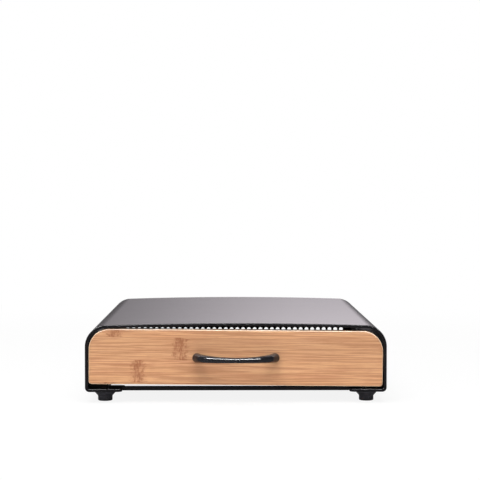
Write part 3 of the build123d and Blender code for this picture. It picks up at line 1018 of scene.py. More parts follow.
def mark_edges(mesh: bpy.types.Mesh, narrow: float = 0.7 * MM) -> None:
    """Writes the face attribute "edge", which is 1 on narrow faces such as roundings.

    Args:
        mesh: Finished mesh.
        narrow: Width under which a face counts as an edge.
    """
    marks = mesh.attributes.get("edge") or mesh.attributes.new("edge", "FLOAT", "FACE")
    values = []
    for face in mesh.polygons:
        corners = [mesh.vertices[index].co for index in face.vertices]
        longest = max((a - b).length for a, b in zip(corners, corners[1:] + corners[:1]))
        values.append(1.0 if face.area < narrow * longest else 0.0)
    marks.data.foreach_set("value", values)


@dataclass
class Piece:
    """One named piece of the object, with the nodes it stands for."""

    name: str
    body: Body
    finish: Finish
    nodes: tuple[str, ...]
    bevel: float = 0.0
    smooth_angle: float = 35.0

    def put(self, mesh: bpy.types.Mesh) -> bpy.types.Object:
        """Dresses a mesh and hands it to its body.

        Args:
            mesh: Mesh of the piece, in place.

        Returns:
            The finished object.
        """
        mesh.materials.clear()
        mesh.materials.append(self.finish.material())
        made = new_object(self.name, mesh)
        if self.bevel > 0.0:
            rounding = made.modifiers.new("rounding", "BEVEL")
            rounding.width = self.bevel * MM
            rounding.segments = 2
            rounding.limit_method = "ANGLE"
            rounding.angle_limit = math.radians(40.0)
            made.data = flattened(made)
        finished = made.data
        finished.name = self.name
        for face in finished.polygons:
            face.use_smooth = True
        finished.set_sharp_from_angle(angle=math.radians(self.smooth_angle))
        mark_edges(finished)
        weighting = made.modifiers.new("weighting", "WEIGHTED_NORMAL")
        weighting.keep_sharp = True
        weighting.weight = 80
        if self.nodes:
            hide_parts(*self.nodes)
        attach(made, self.body.value)
        log.info("%s: %d faces on %s", self.name, len(finished.polygons), self.body.value)
        return made


def node_copy(node: str, dissolve: bool = True) -> bpy.types.Mesh:
    """Merged copy of a CAD node's mesh, with its flat faces joined.

    Args:
        node: Name of the node.
        dissolve: Whether triangles of one plane are joined.

    Returns:
        The mesh.
    """
    work = bmesh.new()
    work.from_mesh(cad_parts[node].data)
    bmesh.ops.remove_doubles(work, verts=work.verts, dist=1e-6)
    if dissolve:
        bmesh.ops.dissolve_limit(work, angle_limit=math.radians(0.5), verts=work.verts, edges=work.edges)
    mesh = bpy.data.meshes.new(node)
    work.to_mesh(mesh)
    work.free()
    return mesh


# ------------------------------------------------------------- repeating pieces
@dataclass(frozen=True)
class Lattice:
    """Places of a piece that repeats: columns, rows, their steps and the first place."""

    first: Point3
    columns: int
    column_step: Point3
    rows: int = 1
    row_step: Point3 = (0.0, 0.0, 0.0)
    aim: Aim = Aim.UP
    spin: float = 0.0
    seed: int = 3


class RepeatTree:
    """Geometry Nodes tree that sets its own mesh down at each place of a lattice."""

    NAME = "repeat at places"
    INPUTS = (
        ("First Place", VECTOR),
        ("Columns", "NodeSocketInt"),
        ("Column Step", VECTOR),
        ("Rows", "NodeSocketInt"),
        ("Row Step", VECTOR),
        ("Aim", "NodeSocketRotation"),
        ("Spin", FLOAT),
        ("Seed", "NodeSocketInt"),
        ("Finish", "NodeSocketMaterial"),
    )

    @classmethod
    def tree(cls) -> bpy.types.NodeTree:
        """The tree, built the first time it is asked for."""
        found = bpy.data.node_groups.get(cls.NAME)
        if found is not None:
            return found
        tree = bpy.data.node_groups.new(cls.NAME, "GeometryNodeTree")
        tree.interface.new_socket(name="Geometry", in_out="INPUT", socket_type="NodeSocketGeometry")
        for name, kind in cls.INPUTS:
            tree.interface.new_socket(name=name, in_out="INPUT", socket_type=kind)
        tree.interface.new_socket(name="Geometry", in_out="OUTPUT", socket_type="NodeSocketGeometry")
        graph = Graph(tree)
        source = graph.add("NodeGroupInput").outputs
        index = graph.add("GeometryNodeInputIndex").outputs[0]
        column = graph.math("MODULO", index, source["Columns"])
        row = graph.math("FLOOR", graph.math("DIVIDE", index, source["Columns"]))
        across = graph.vector("SCALE", source["Column Step"], column)
        upward = graph.vector("SCALE", source["Row Step"], row)
        place = graph.vector("ADD", graph.vector("ADD", across, upward), source["First Place"])
        count = graph.math("MULTIPLY", source["Columns"], source["Rows"])
        points = graph.add("GeometryNodePoints", {"Count": count, "Position": place}).outputs[0]
        chance = graph.add(
            "FunctionNodeRandomValue",
            {2: 0.0, 3: source["Spin"], "Seed": source["Seed"]},
            data_type="FLOAT",
        ).outputs[1]
        angles = graph.add("ShaderNodeCombineXYZ", {2: chance}).outputs[0]
        spun = graph.add("FunctionNodeEulerToRotation", {0: angles}).outputs[0]
        turn = graph.add(
            "FunctionNodeRotateRotation", {0: source["Aim"], 1: spun}, rotation_space="LOCAL"
        ).outputs[0]
        placed = graph.add(
            "GeometryNodeInstanceOnPoints",
            {"Points": points, "Instance": source["Geometry"], "Rotation": turn},
        ).outputs[0]
        real = graph.add("GeometryNodeRealizeInstances", {0: placed}).outputs[0]
        dressed = graph.add(
            "GeometryNodeSetMaterial", {"Geometry": real, "Material": source["Finish"]}
        ).outputs[0]
        graph.add("NodeGroupOutput", {0: dressed})
        return tree

    @classmethod
    def repeat(cls, master: bpy.types.Mesh, lattice: Lattice, finish: Finish) -> bpy.types.Mesh:
        """Mesh of the master at every place.

        Args:
            master: Mesh of one piece about the origin, facing +Z.
            lattice: Its places, in mm.
            finish: Its finish.

        Returns:
            The joined mesh.
        """
        values = {
            "First Place": [value * MM for value in lattice.first],
            "Columns": lattice.columns,
            "Column Step": [value * MM for value in lattice.column_step],
            "Rows": lattice.rows,
            "Row Step": [value * MM for value in lattice.row_step],
            "Aim": lattice.aim.value,
            "Spin": lattice.spin,
            "Seed": lattice.seed,
            "Finish": finish.material(),
        }
        return run_tree(cls.tree(), master, values)


class PerforateTree:
    """Geometry Nodes tree that punches staggered rows of round holes through its own mesh."""

    NAME = "punch staggered holes"
    INPUTS = (
        ("First Hole", VECTOR),
        ("Pitch", VECTOR),
        ("Row Step", VECTOR),
        ("Columns", "NodeSocketInt"),
        ("Rows", "NodeSocketInt"),
        ("Hole Diameter", FLOAT),
        ("Punch Length", FLOAT),
        ("Aim", "NodeSocketRotation"),
        ("Finish", "NodeSocketMaterial"),
    )

    @classmethod
    def tree(cls) -> bpy.types.NodeTree:
        """The tree, built the first time it is asked for."""
        found = bpy.data.node_groups.get(cls.NAME)
        if found is not None:
            return found
        tree = bpy.data.node_groups.new(cls.NAME, "GeometryNodeTree")
        tree.interface.new_socket(name="Geometry", in_out="INPUT", socket_type="NodeSocketGeometry")
        for name, kind in cls.INPUTS:
            tree.interface.new_socket(name=name, in_out="INPUT", socket_type=kind)
        tree.interface.new_socket(name="Geometry", in_out="OUTPUT", socket_type="NodeSocketGeometry")
        graph = Graph(tree)
        source = graph.add("NodeGroupInput").outputs
        index = graph.add("GeometryNodeInputIndex").outputs[0]
        column = graph.math("MODULO", index, source["Columns"])
        row = graph.math("FLOOR", graph.math("DIVIDE", index, source["Columns"]))
        odd = graph.math("MODULO", row, 2.0)
        # an even row starts half a pitch later and has one hole less
        shifted = graph.math("ADD", column, graph.math("MULTIPLY", graph.math("SUBTRACT", 1.0, odd), 0.5))
        across = graph.vector("SCALE", source["Pitch"], shifted)
        upward = graph.vector("SCALE", source["Row Step"], row)
        place = graph.vector("ADD", graph.vector("ADD", across, upward), source["First Hole"])
        count = graph.math("MULTIPLY", source["Columns"], source["Rows"])
        points = graph.add("GeometryNodePoints", {"Count": count, "Position": place}).outputs[0]
        last = graph.math("COMPARE", column, graph.math("SUBTRACT", source["Columns"], 1.0), 0.1)
        spare = graph.math("MULTIPLY", last, graph.math("SUBTRACT", 1.0, odd))
        kept = graph.add("GeometryNodeDeleteGeometry", {0: points, 1: spare}, domain="POINT").outputs[0]
        radius = graph.math("MULTIPLY", source["Hole Diameter"], 0.5)
        punch = graph.add(
            "GeometryNodeMeshCylinder", {"Vertices": 24, "Radius": radius, "Depth": source["Punch Length"]}
        ).outputs[0]
        placed = graph.add(
            "GeometryNodeInstanceOnPoints", {"Points": kept, "Instance": punch, "Rotation": source["Aim"]}
        ).outputs[0]
        punches = graph.add("GeometryNodeRealizeInstances", {0: placed}).outputs[0]
        punched = graph.add(
            "GeometryNodeMeshBoolean",
            {0: source["Geometry"], 1: punches},
            operation="DIFFERENCE",
            solver="EXACT",
        ).outputs[0]
        real = graph.add("GeometryNodeRealizeInstances", {0: punched}).outputs[0]
        dressed = graph.add(
            "GeometryNodeSetMaterial", {"Geometry": real, "Material": source["Finish"]}
        ).outputs[0]
        graph.add("NodeGroupOutput", {0: dressed})
        return tree


def run_tree(tree: bpy.types.NodeTree, mesh: bpy.types.Mesh, values: dict[str, Any]) -> bpy.types.Mesh:
    """Runs a Geometry Nodes tree on a mesh.

    Args:
        tree: The tree.
        mesh: Mesh that it starts from.
        values: Values of its inputs by name.

    Returns:
        The resulting plain mesh.
    """
    holder = new_object("tree_holder", mesh)
    modifier = holder.modifiers.new("tree", "NODES")
    modifier.node_group = tree
    for item in tree.interface.items_tree:
        if item.in_out == "INPUT" and item.name in values:
            modifier[item.identifier] = values[item.name]
    result = flattened(holder)
    bpy.data.objects.remove(holder)
    return result


# --------------------------------------------------------------- the fasteners
@dataclass
class Fastener:
    """Sizes of a screw or rivet, in mm, and the meshes made from them."""

    head_diameter: float
    head_height: float
    shank_diameter: float
    length: float
    pitch: float = 0.7
    thread_depth: float = 0.28
    recess_width: float = 4.0
    tip: float = 0.0

    def head(self) -> bpy.types.Mesh:
        """Domed head with a cross recess, its seat at the origin and its top along +Z."""
        radius, height = self.head_diameter / 2, self.head_height
        profile = [(0.0, 0.0), (radius, 0.0), (radius, height * 0.35)]
        for step in range(1, 9):
            angle = math.pi / 2 * step / 8
            profile.append(
                (radius * (0.45 + 0.55 * math.cos(angle)), height * (0.35 + 0.65 * math.sin(angle)))
            )
        profile.append((0.0, height))
        solid = lathe([(r * MM, z * MM) for r, z in profile], 48, "screw_head")
        return cut(solid, self.recess(), "DIFFERENCE")

    def recess(self) -> bpy.types.Mesh:
        """Tapered cross that cuts the recess."""
        work = bmesh.new()
        top, low = self.head_height + 0.4, self.head_height * 0.25
        wide, slim = self.recess_width / 2, self.recess_width * 0.14
        outline = []
        for quarter in range(4):
            turn = Matrix.Rotation(math.pi / 2 * quarter, 2)
            for corner in ((wide, -slim), (wide, slim), (slim, slim)):
                outline.append(turn @ Vector(corner))
        rows = []
        for height, size in ((top, 1.0), (low, 0.42)):
            rows.append([work.verts.new((p.x * size * MM, p.y * size * MM, height * MM)) for p in outline])
        count = len(outline)
        for index in range(count):
            after = (index + 1) % count
            work.faces.new((rows[0][index], rows[0][after], rows[1][after], rows[1][index]))
        work.faces.new(rows[0])
        work.faces.new(rows[1])
        return mesh_of(work, "recess_tool")

    def shank(self) -> bpy.types.Mesh:
        """Threaded shank that runs from the seat along -Z."""
        steps, per_turn = 20, 6
        rings = max(int(self.length / self.pitch * per_turn), 2)
        outer = self.shank_diameter / 2
        loops = []
        for ring in range(rings + 1):
            down = self.length * ring / rings
            loop = []
            for step in range(steps):
                phase = (down / self.pitch - step / steps) % 1.0
                groove = 1.0 - abs(2.0 * phase - 1.0)
                fade = min(1.0, down / self.pitch, (self.length - down) / self.pitch + 0.2)
                radius = outer - self.thread_depth * (1.0 - groove) * fade
                if self.tip > 0.0:
                    radius *= min(1.0, 0.12 + (self.length - down) / self.tip)
                angle = math.tau * step / steps
                loop.append((radius * math.cos(angle) * MM, radius * math.sin(angle) * MM, -down * MM))
            loops.append(loop)
        return skin(loops, "screw_shank")

    def screw(self) -> bpy.types.Mesh:
        """Whole screw."""
        return joined([self.head(), self.shank()], "screw")

    def rivet(self) -> bpy.types.Mesh:
        """Rivet with a low domed head at each end of its shank, its lower seat at the origin."""
        radius, height = self.head_diameter / 2, self.head_height
        core, length = self.shank_diameter / 2, self.length
        dome = []
        for step in range(7):
            angle = math.pi / 2 * step / 6
            dome.append(
                (
                    radius * math.cos(angle) ** 0.6 if step < 6 else 0.0,
                    height * (0.25 + 0.75 * math.sin(angle)),
                )
            )
        lower = [(r, -z) for r, z in reversed(dome)]
        profile = lower + [(radius, 0.0), (core, 0.0), (core, length), (radius, length)]
        profile += [(r, length + z) for r, z in dome]
        return lathe([(r * MM, z * MM) for r, z in profile], 32, "rivet")


def joined(meshes: Iterable[bpy.types.Mesh], name: str) -> bpy.types.Mesh:
    """One mesh of several.

    Args:
        meshes: The meshes.
        name: Name of the result.

    Returns:
        The joined mesh.
    """
    work = bmesh.new()
    for mesh in meshes:
        work.from_mesh(mesh)
    mesh = bpy.data.meshes.new(name)
    work.to_mesh(mesh)
    work.free()
    return mesh


# ------------------------------------------------------------- the sub-assemblies
@dataclass
class Housing:
    """Bent steel housing with its rails, hold-down angles, runners and rivets, in mm."""

    width: float = 280.0
    top: float = 74.2
    crown_rise: float = 2.6
    front: float = -152.4
    back: float = 177.6
    low: float = 10.2
    sheet: float = 1.2
    hem: float = 2.8
    hem_width: float = 8.0
    hem_radius: float = 0.9
    top_radius: float = 20.0
    low_radius: float = 4.0
    tab: float = 34.0
    tab_depth: float = 40.0
    tab_corner: float = 5.0
    flange: float = 20.0
    runner_rivet: Fastener = field(default_factory=lambda: Fastener(6.0, 1.0, 3.2, 4.4))

    def outline(self) -> list[tuple[Vector, Vector, float]]:
        """Outer outline from the left foot tab's edge over the top to the right one.

        Returns:
            Point, outward normal and set-back of the ends at that point, in mm.
        """
        half = self.width / 2
        inner = half - self.tab
        crown_radius = (half**2 + self.crown_rise**2) / (2 * self.crown_rise)
        crown_centre = self.top - crown_radius
        shoulder_x = half - self.top_radius
        reach = crown_radius - self.top_radius
        shoulder_z = crown_centre + math.sqrt(reach**2 - shoulder_x**2)
        lean = math.asin(shoulder_x / reach)
        right: list[tuple[Vector, Vector, float]] = []
        for step in range(13):
            angle = lean * step / 12
            spoke = Vector((math.sin(angle), math.cos(angle)))
            right.append((Vector((0.0, crown_centre)) + spoke * crown_radius, spoke, 0.0))
        for step in range(1, 25):
            angle = lean + (math.pi / 2 - lean) * step / 24
            spoke = Vector((math.sin(angle), math.cos(angle)))
            right.append((Vector((shoulder_x, shoulder_z)) + spoke * self.top_radius, spoke, 0.0))
        corner_z = self.low + self.low_radius
        for share in (0.25, 0.5, 0.75):
            level = shoulder_z + (corner_z - shoulder_z) * share
            right.append((Vector((half, level)), Vector((1.0, 0.0)), 0.0))
        for step in range(9):
            angle = math.pi / 2 + math.pi / 2 * step / 8
            spoke = Vector((math.sin(angle), math.cos(angle)))
            right.append((Vector((half - self.low_radius, corner_z)) + spoke * self.low_radius, spoke, 0.0))
        radius = self.tab_corner
        down = Vector((0.0, -1.0))
        right.append((Vector((inner + (self.tab - self.low_radius) / 2, self.low)), down, 0.0))
        for step in range(9):
            angle = math.pi / 2 * step / 8
            back_off = radius * (1.0 - math.cos(angle))
            right.append((Vector((inner + radius - radius * math.sin(angle), self.low)), down, back_off))
        left = [(Vector((-p.x, p.y)), Vector((-n.x, n.y)), s) for p, n, s in right[1:]]
        return left[::-1] + right

    def profile(self) -> list[tuple[float, float, int]]:
        """Section through the sheet from front to back.

        Returns:
            Place along Y, inset from the outside, and the end that it belongs to (-1 front, 1 back).
        """
        radius = self.hem_radius
        ends: list[tuple[float, float, int]] = []
        for step in range(7):
            angle = math.pi / 2 * step / 6
            ends.append((self.front + radius * (1 - math.sin(angle)), radius * (1 - math.cos(angle)), -1))
        for step in range(7):
            angle = math.pi / 2 * step / 6
            ends.append(
                (self.front + radius * (1 - math.cos(angle)), self.hem - radius * (1 - math.sin(angle)), -1)
            )
        lip = self.hem - self.sheet
        ends.append((self.front + self.hem_width - lip * 0.3, self.hem, -1))
        ends.append((self.front + self.hem_width, self.hem - lip * 0.3, -1))
        ends.append((self.front + self.hem_width, self.sheet, -1))
        rear = [(self.front + self.back - y, inset, 1) for y, inset, _ in reversed(ends)]
        return ends + rear

    def shell(self) -> None:
        """Builds the housing sheet with its folded hems."""
        loops = []
        for point, normal, set_back in self.outline():
            loop = []
            for y, inset, end in self.profile():
                at = point - normal * inset
                loop.append((at.x * MM, (y - end * set_back) * MM, at.y * MM))
            loops.append(loop)
        inner = self.width / 2 - self.flange
        under, over = self.low - 1.0, self.low + self.sheet + 1.0
        section = [(-inner, under), (inner, under), (inner, over), (-inner, over)]
        start, end = self.front + self.tab_depth, self.back - self.tab_depth
        opening = sweep(section, Along.Y, start, end, "bottom_opening")
        sheet = cut(skin(loops, "housing_sheet"), opening, "DIFFERENCE")
        Piece("housing_sheet", Body.HOUSING, COAT, ("housing_shell",), smooth_angle=50.0).put(sheet)

    def rails(self) -> None:
        """Dresses the cross rails and the hold-down angles."""
        for node in ("front_rail", "rear_rail", "hold_down_left", "hold_down_right"):
            Piece(f"{node}_sheet", Body.HOUSING, COAT, (node,), bevel=0.15).put(node_copy(node))

    def runners(self) -> None:
        """Dresses the glide rails and sets their rivets."""
        for node in ("runner_left", "runner_right"):
            Piece(f"{node}_moulding", Body.HOUSING, NYLON, (node,), bevel=0.12).put(node_copy(node))
        low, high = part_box("runner_rivets")
        reach = self.runner_rivet.head_diameter / 2
        first = (low.x / MM + reach, low.y / MM + reach, self.low)
        across = (high.x - low.x) / MM - 2 * reach
        step = ((high.y - low.y) / MM - 2 * reach) / 2
        lattice = Lattice(first, 2, (across, 0.0, 0.0), 3, (0.0, step, 0.0))
        mesh = RepeatTree.repeat(self.runner_rivet.rivet(), lattice, ZINC)
        Piece("runner_rivet_set", Body.HOUSING, ZINC, ("runner_rivets",)).put(mesh)

    def bumpers(self) -> None:
        """Dresses the rubber bumpers of the rear rail."""
        for node in ("rear_bumper_left", "rear_bumper_right"):
            Piece(f"{node}_rubber", Body.HOUSING, RUBBER, (node,), smooth_angle=50.0).put(node_copy(node))

    def build(self) -> None:
        """Builds the whole housing."""
        self.shell()
        self.rails()
        self.runners()
        self.bumpers()


@dataclass
class Feet:
    """Four rubber feet with their screws, washers and nuts, in mm."""

    x: float = 122.8
    front_y: float = -132.4
    rear_y: float = 157.6
    height: float = 10.2
    top_diameter: float = 19.4
    base_diameter: float = 13.6
    rim: float = 2.6
    taper: float = 3.0
    edge: float = 0.9
    bore: float = 9.2
    bore_depth: float = 4.8
    hole: float = 4.4
    washer_diameter: float = 9.0
    washer: float = 0.8
    nut_width: float = 7.0
    nut_height: float = 3.2
    flange_top: float = 11.4
    screw: Fastener = field(default_factory=lambda: Fastener(7.8, 2.6, 4.0, 10.6))

    def profile(self) -> list[Point2]:
        """Closed section of a foot, from its bore round the outside."""
        base, top = self.base_diameter / 2, self.top_diameter / 2
        bore, hole, edge = self.bore / 2, self.hole / 2, self.edge
        waist = self.height - self.rim - self.taper
        points = [
            (hole, self.height),
            (hole, self.bore_depth),
            (bore, self.bore_depth),
            (bore, 0.2),
            (bore + 0.2, 0.0),
        ]
        for step in range(7):
            angle = math.pi / 2 * step / 6
            points.append((base - edge + edge * math.sin(angle), edge - edge * math.cos(angle)))
        points += [(base, waist - 0.5), (base + 0.15, waist + 0.1)]
        points += [(top - 0.35, self.height - self.rim - 0.25), (top, self.height - self.rim + 0.25)]
        points += [(top, self.height - 0.35), (top - 0.35, self.height)]
        return points

    def lattice(self, height: float, aim: Aim, spin: float = 0.0) -> Lattice:
        """Places of what repeats at each foot.

        Args:
            height: Height of the places in mm.
            aim: Way that the piece faces.
            spin: Largest random turn about its axis.

        Returns:
            The lattice.
        """
        span = self.rear_y - self.front_y
        return Lattice(
            (-self.x, self.front_y, height), 2, (2 * self.x, 0.0, 0.0), 2, (0.0, span, 0.0), aim, spin
        )

    def rubber(self) -> None:
        """Builds the four feet."""
        for name, x, y in (
            ("front_left", -self.x, self.front_y),
            ("front_right", self.x, self.front_y),
            ("rear_left", -self.x, self.rear_y),
            ("rear_right", self.x, self.rear_y),
        ):
            points = [(r * MM, z * MM) for r, z in self.profile()]
            mesh = lathe(points, 72, f"foot_{name}", (x * MM, y * MM))
            Piece(f"foot_{name}_rubber", Body.HOUSING, RUBBER, (f"foot_{name}",)).put(mesh)

    def hardware(self) -> None:
        """Builds the screws, washers and nuts."""
        seat = self.bore_depth - self.washer
        screws = RepeatTree.repeat(self.screw.screw(), self.lattice(seat, Aim.DOWN, math.tau), ZINC)
        Piece("foot_screw_set", Body.HOUSING, ZINC, ("foot_screws",)).put(screws)
        ring = washer(self.washer_diameter, self.hole, self.washer)
        washers = RepeatTree.repeat(ring, self.lattice(seat, Aim.UP), ZINC)
        Piece("foot_washer_set", Body.HOUSING, ZINC, ("foot_washers",)).put(washers)
        nut = hex_nut(self.nut_width, self.nut_height, self.screw.shank_diameter)
        nuts = RepeatTree.repeat(nut, self.lattice(self.flange_top, Aim.UP), ZINC)
        Piece("foot_nut_set", Body.HOUSING, ZINC, ("foot_nuts",)).put(nuts)

    def build(self) -> None:
        """Builds the feet and what holds them."""
        self.rubber()
        self.hardware()


def washer(diameter: float, hole: float, thickness: float) -> bpy.types.Mesh:
    """Flat washer on the origin's plane, with broken edges.

    Args:
        diameter: Outer diameter in mm.
        hole: Diameter of its hole in mm.
        thickness: Thickness in mm.

    Returns:
        The mesh.
    """
    outer, inner, broken = diameter / 2, hole / 2, thickness * 0.2
    points = [
        (inner, broken), (inner + broken, 0.0), (outer - broken, 0.0), (outer, broken),
        (
            outer,
            thickness - broken,
        ), (outer - broken, thickness), (inner + broken, thickness), (inner, thickness - broken),
    ]
    return lathe([(r * MM, z * MM) for r, z in points], 48, "washer")


def hex_nut(width: float, height: float, bore: float) -> bpy.types.Mesh:
    """Chamfered hexagon nut on the origin's plane, with a threaded bore.

    Args:
        width: Width over its flats in mm.
        height: Height in mm.
        bore: Diameter of its bore in mm.

    Returns:
        The mesh.
    """
    corner = width / math.sqrt(3)
    loops = []
    for level in (0.0, height):
        turns_at = [math.pi / 3 * side + math.pi / 6 for side in range(6)]
        loops.append([(corner * math.cos(a) * MM, corner * math.sin(a) * MM, level * MM) for a in turns_at])
    prism = skin(loops, "nut_prism")
    flat, drop = width / 2 * 0.96, (corner - width / 2 * 0.96) * 0.5
    inner = bore / 2 + 0.02
    past, low = corner + 0.2, drop + 0.1
    points = [(inner, 0.0), (flat, 0.0), (past, low), (past, height - low), (flat, height), (inner, height)]
    turns = int(height / 0.7)
    for turn in range(turns, 0, -1):
        level = height * (turn - 0.5) / turns
        half = height / turns / 2 - 0.02
        points += [(inner, level + half), (inner + 0.25, level), (inner, level - half)]
    return cut(prism, lathe([(r * MM, z * MM) for r, z in points], 48, "nut_turning"), "INTERSECT")


@dataclass
class BambooFront:
    """Bamboo board of the drawer, a little out of level, with the screws behind it, in mm."""

    width: float = 273.1
    height: float = 51.5
    middle: float = 42.15
    face: float = -151.9
    thickness: float = 10.0
    top_radius: float = 19.0
    low_radius: float = 3.0
    edge: float = 1.3
    back_edge: float = 0.65
    skew: float = 0.55
    plate_back: float = -140.7
    screw_x: float = 110.0
    screw_low: float = 23.2
    screw_high: float = 41.2
    wood_screw: Fastener = field(default_factory=lambda: Fastener(7.0, 2.2, 3.5, 9.0, 1.3, 0.45, 3.6, 3.2))

    def outline(self, inset: float) -> list[Point2]:
        """Outline of the board.

        Args:
            inset: How far it is set in from the edge.

        Returns:
            The closed outline in mm.
        """
        points: list[Point2] = []
        turn = Matrix.Rotation(-math.radians(self.skew), 2)
        corners = (
            (1, 1, self.top_radius, 0.0), (-1, 1, self.top_radius, 90.0),
            (-1, -1, self.low_radius, 180.0), (1, -1, self.low_radius, 270.0),
        )
        for side, level, radius, start in corners:
            steps = 20 if radius > 10 else 8
            centre = Vector((side * (self.width / 2 - radius), level * (self.height / 2 - radius)))
            for step in range(steps + 1):
                angle = math.radians(start + 90.0 * step / steps)
                spoke = Vector((math.cos(angle), math.sin(angle))) * (radius - inset)
                at = turn @ (centre + spoke)
                points.append((at.x, at.y + self.middle))
        return points

    def rim_rows(self, face: float, radius: float, inward: int, steps: int) -> list[Point2]:
        """Rows of a rounded rim from a face inwards.

        Args:
            face: Y of the face.
            radius: Radius of the rim.
            inward: Way along Y that leads into the board.
            steps: Segments of the rounding.

        Returns:
            Y and inset of each row.
        """
        rows = []
        for step in range(steps, -1, -1):
            angle = math.pi / 2 * step / steps
            rows.append((face + inward * radius * (1 - math.sin(angle)), radius * (1 - math.cos(angle))))
        return rows

    def board(self) -> None:
        """Builds the board with its rounded edges."""
        rows = self.rim_rows(self.face, self.edge, 1, 8)
        rows += self.rim_rows(self.face + self.thickness, self.back_edge, -1, 4)[::-1]
        skins = [[(x * MM, y * MM, z * MM) for x, z in self.outline(inset)] for y, inset in rows]
        Piece("bamboo_board", Body.DRAWER, BAMBOO, ("wooden_front",)).put(skin(skins, "bamboo_board"))

    def screws(self) -> None:
        """Builds the wood screws that hold the board on the tray."""
        lattice = Lattice(
            (-self.screw_x, self.plate_back, self.screw_low), 2, (2 * self.screw_x, 0.0, 0.0),
            2, (0.0, 0.0, self.screw_high - self.screw_low), Aim.BACK, math.tau, 7,
        )
        mesh = RepeatTree.repeat(self.wood_screw.screw(), lattice, ZINC)
        Piece("front_screw_set", Body.DRAWER, ZINC, ("front_screws",)).put(mesh)

    def build(self) -> None:
        """Builds the board and its screws."""
        self.board()
        self.screws()


@dataclass
class BowHandle:
    """Cast bow handle with its screws and washers, in mm."""

    spacing: float = 72.0
    rise: float = 22.6
    foot: float = 3.0
    end_diameter: float = 8.8
    middle_height: float = 5.0
    middle_depth: float = 6.2
    taper_power: float = 1.6
    face: float = -151.9
    level: float = 42.15
    plate_back: float = -140.7
    washer_diameter: float = 9.0
    washer: float = 0.8
    hole: float = 4.4
    stations: int = 60
    sides: int = 40
    screw: Fastener = field(default_factory=lambda: Fastener(7.8, 2.6, 4.0, 16.0))

    def bow(self) -> None:
        """Builds the bow as a tapering round section on an arc, with short straight feet."""
        bow_rise = self.rise - self.foot
        half = self.spacing / 2
        radius = (half**2 + bow_rise**2) / (2 * bow_rise)
        limit = math.asin(half / radius)
        centre_y = self.face - self.rise + radius
        rows: list[tuple[Vector, Vector, float, float]] = []
        for station in range(self.stations + 1):
            share = 2 * station / self.stations - 1
            angle = share * limit
            ease = max(0.0, (abs(share) - 0.72) / 0.28)
            lean = math.copysign(abs(angle) + (math.pi / 2 - limit) * ease * ease * (3 - 2 * ease), angle)
            across = Vector((math.sin(lean), -math.cos(lean), 0.0))
            swell = abs(share) ** self.taper_power
            depth = self.middle_depth + (self.end_diameter - self.middle_depth) * swell
            height = self.middle_height + (self.end_diameter - self.middle_height) * swell
            at = Vector((radius * math.sin(angle), centre_y - radius * math.cos(angle), self.level))
            rows.append((at, across, depth, height))
        wide = self.end_diameter
        first = (Vector((-half, self.face, self.level)), Vector((-1.0, 0.0, 0.0)), wide, wide)
        last = (Vector((half, self.face, self.level)), Vector((1.0, 0.0, 0.0)), wide, wide)
        skins = []
        for at, across, depth, height in [first] + rows + [last]:
            loop = []
            for side in range(self.sides):
                angle = math.tau * side / self.sides
                upward = Vector((0.0, 0.0, height / 2 * math.sin(angle)))
                point = at + across * (depth / 2 * math.cos(angle)) + upward
                loop.append(tuple(point * MM))
            skins.append(loop)
        grip = Piece("bow_grip", Body.DRAWER, HANDLE_PAINT, ("bow_handle",), smooth_angle=60.0)
        grip.put(skin(skins, "bow_grip"))

    def hardware(self) -> None:
        """Builds the screws and washers inside the tray."""
        first = (-self.spacing / 2, self.plate_back + self.washer, self.level)
        step = (self.spacing, 0.0, 0.0)
        heads = Lattice(first, 2, step, aim=Aim.BACK, spin=math.tau, seed=5)
        screws = RepeatTree.repeat(self.screw.screw(), heads, ZINC)
        Piece("handle_screw_set", Body.DRAWER, ZINC, ("handle_screws",)).put(screws)
        seats = Lattice((first[0], self.plate_back, self.level), 2, step, aim=Aim.BACK)
        ring = washer(self.washer_diameter, self.hole, self.washer)
        washers = RepeatTree.repeat(ring, seats, ZINC)
        Piece("handle_washer_set", Body.DRAWER, ZINC, ("handle_washers",)).put(washers)

    def build(self) -> None:
        """Builds the handle and its screws."""
        self.bow()
        self.hardware()


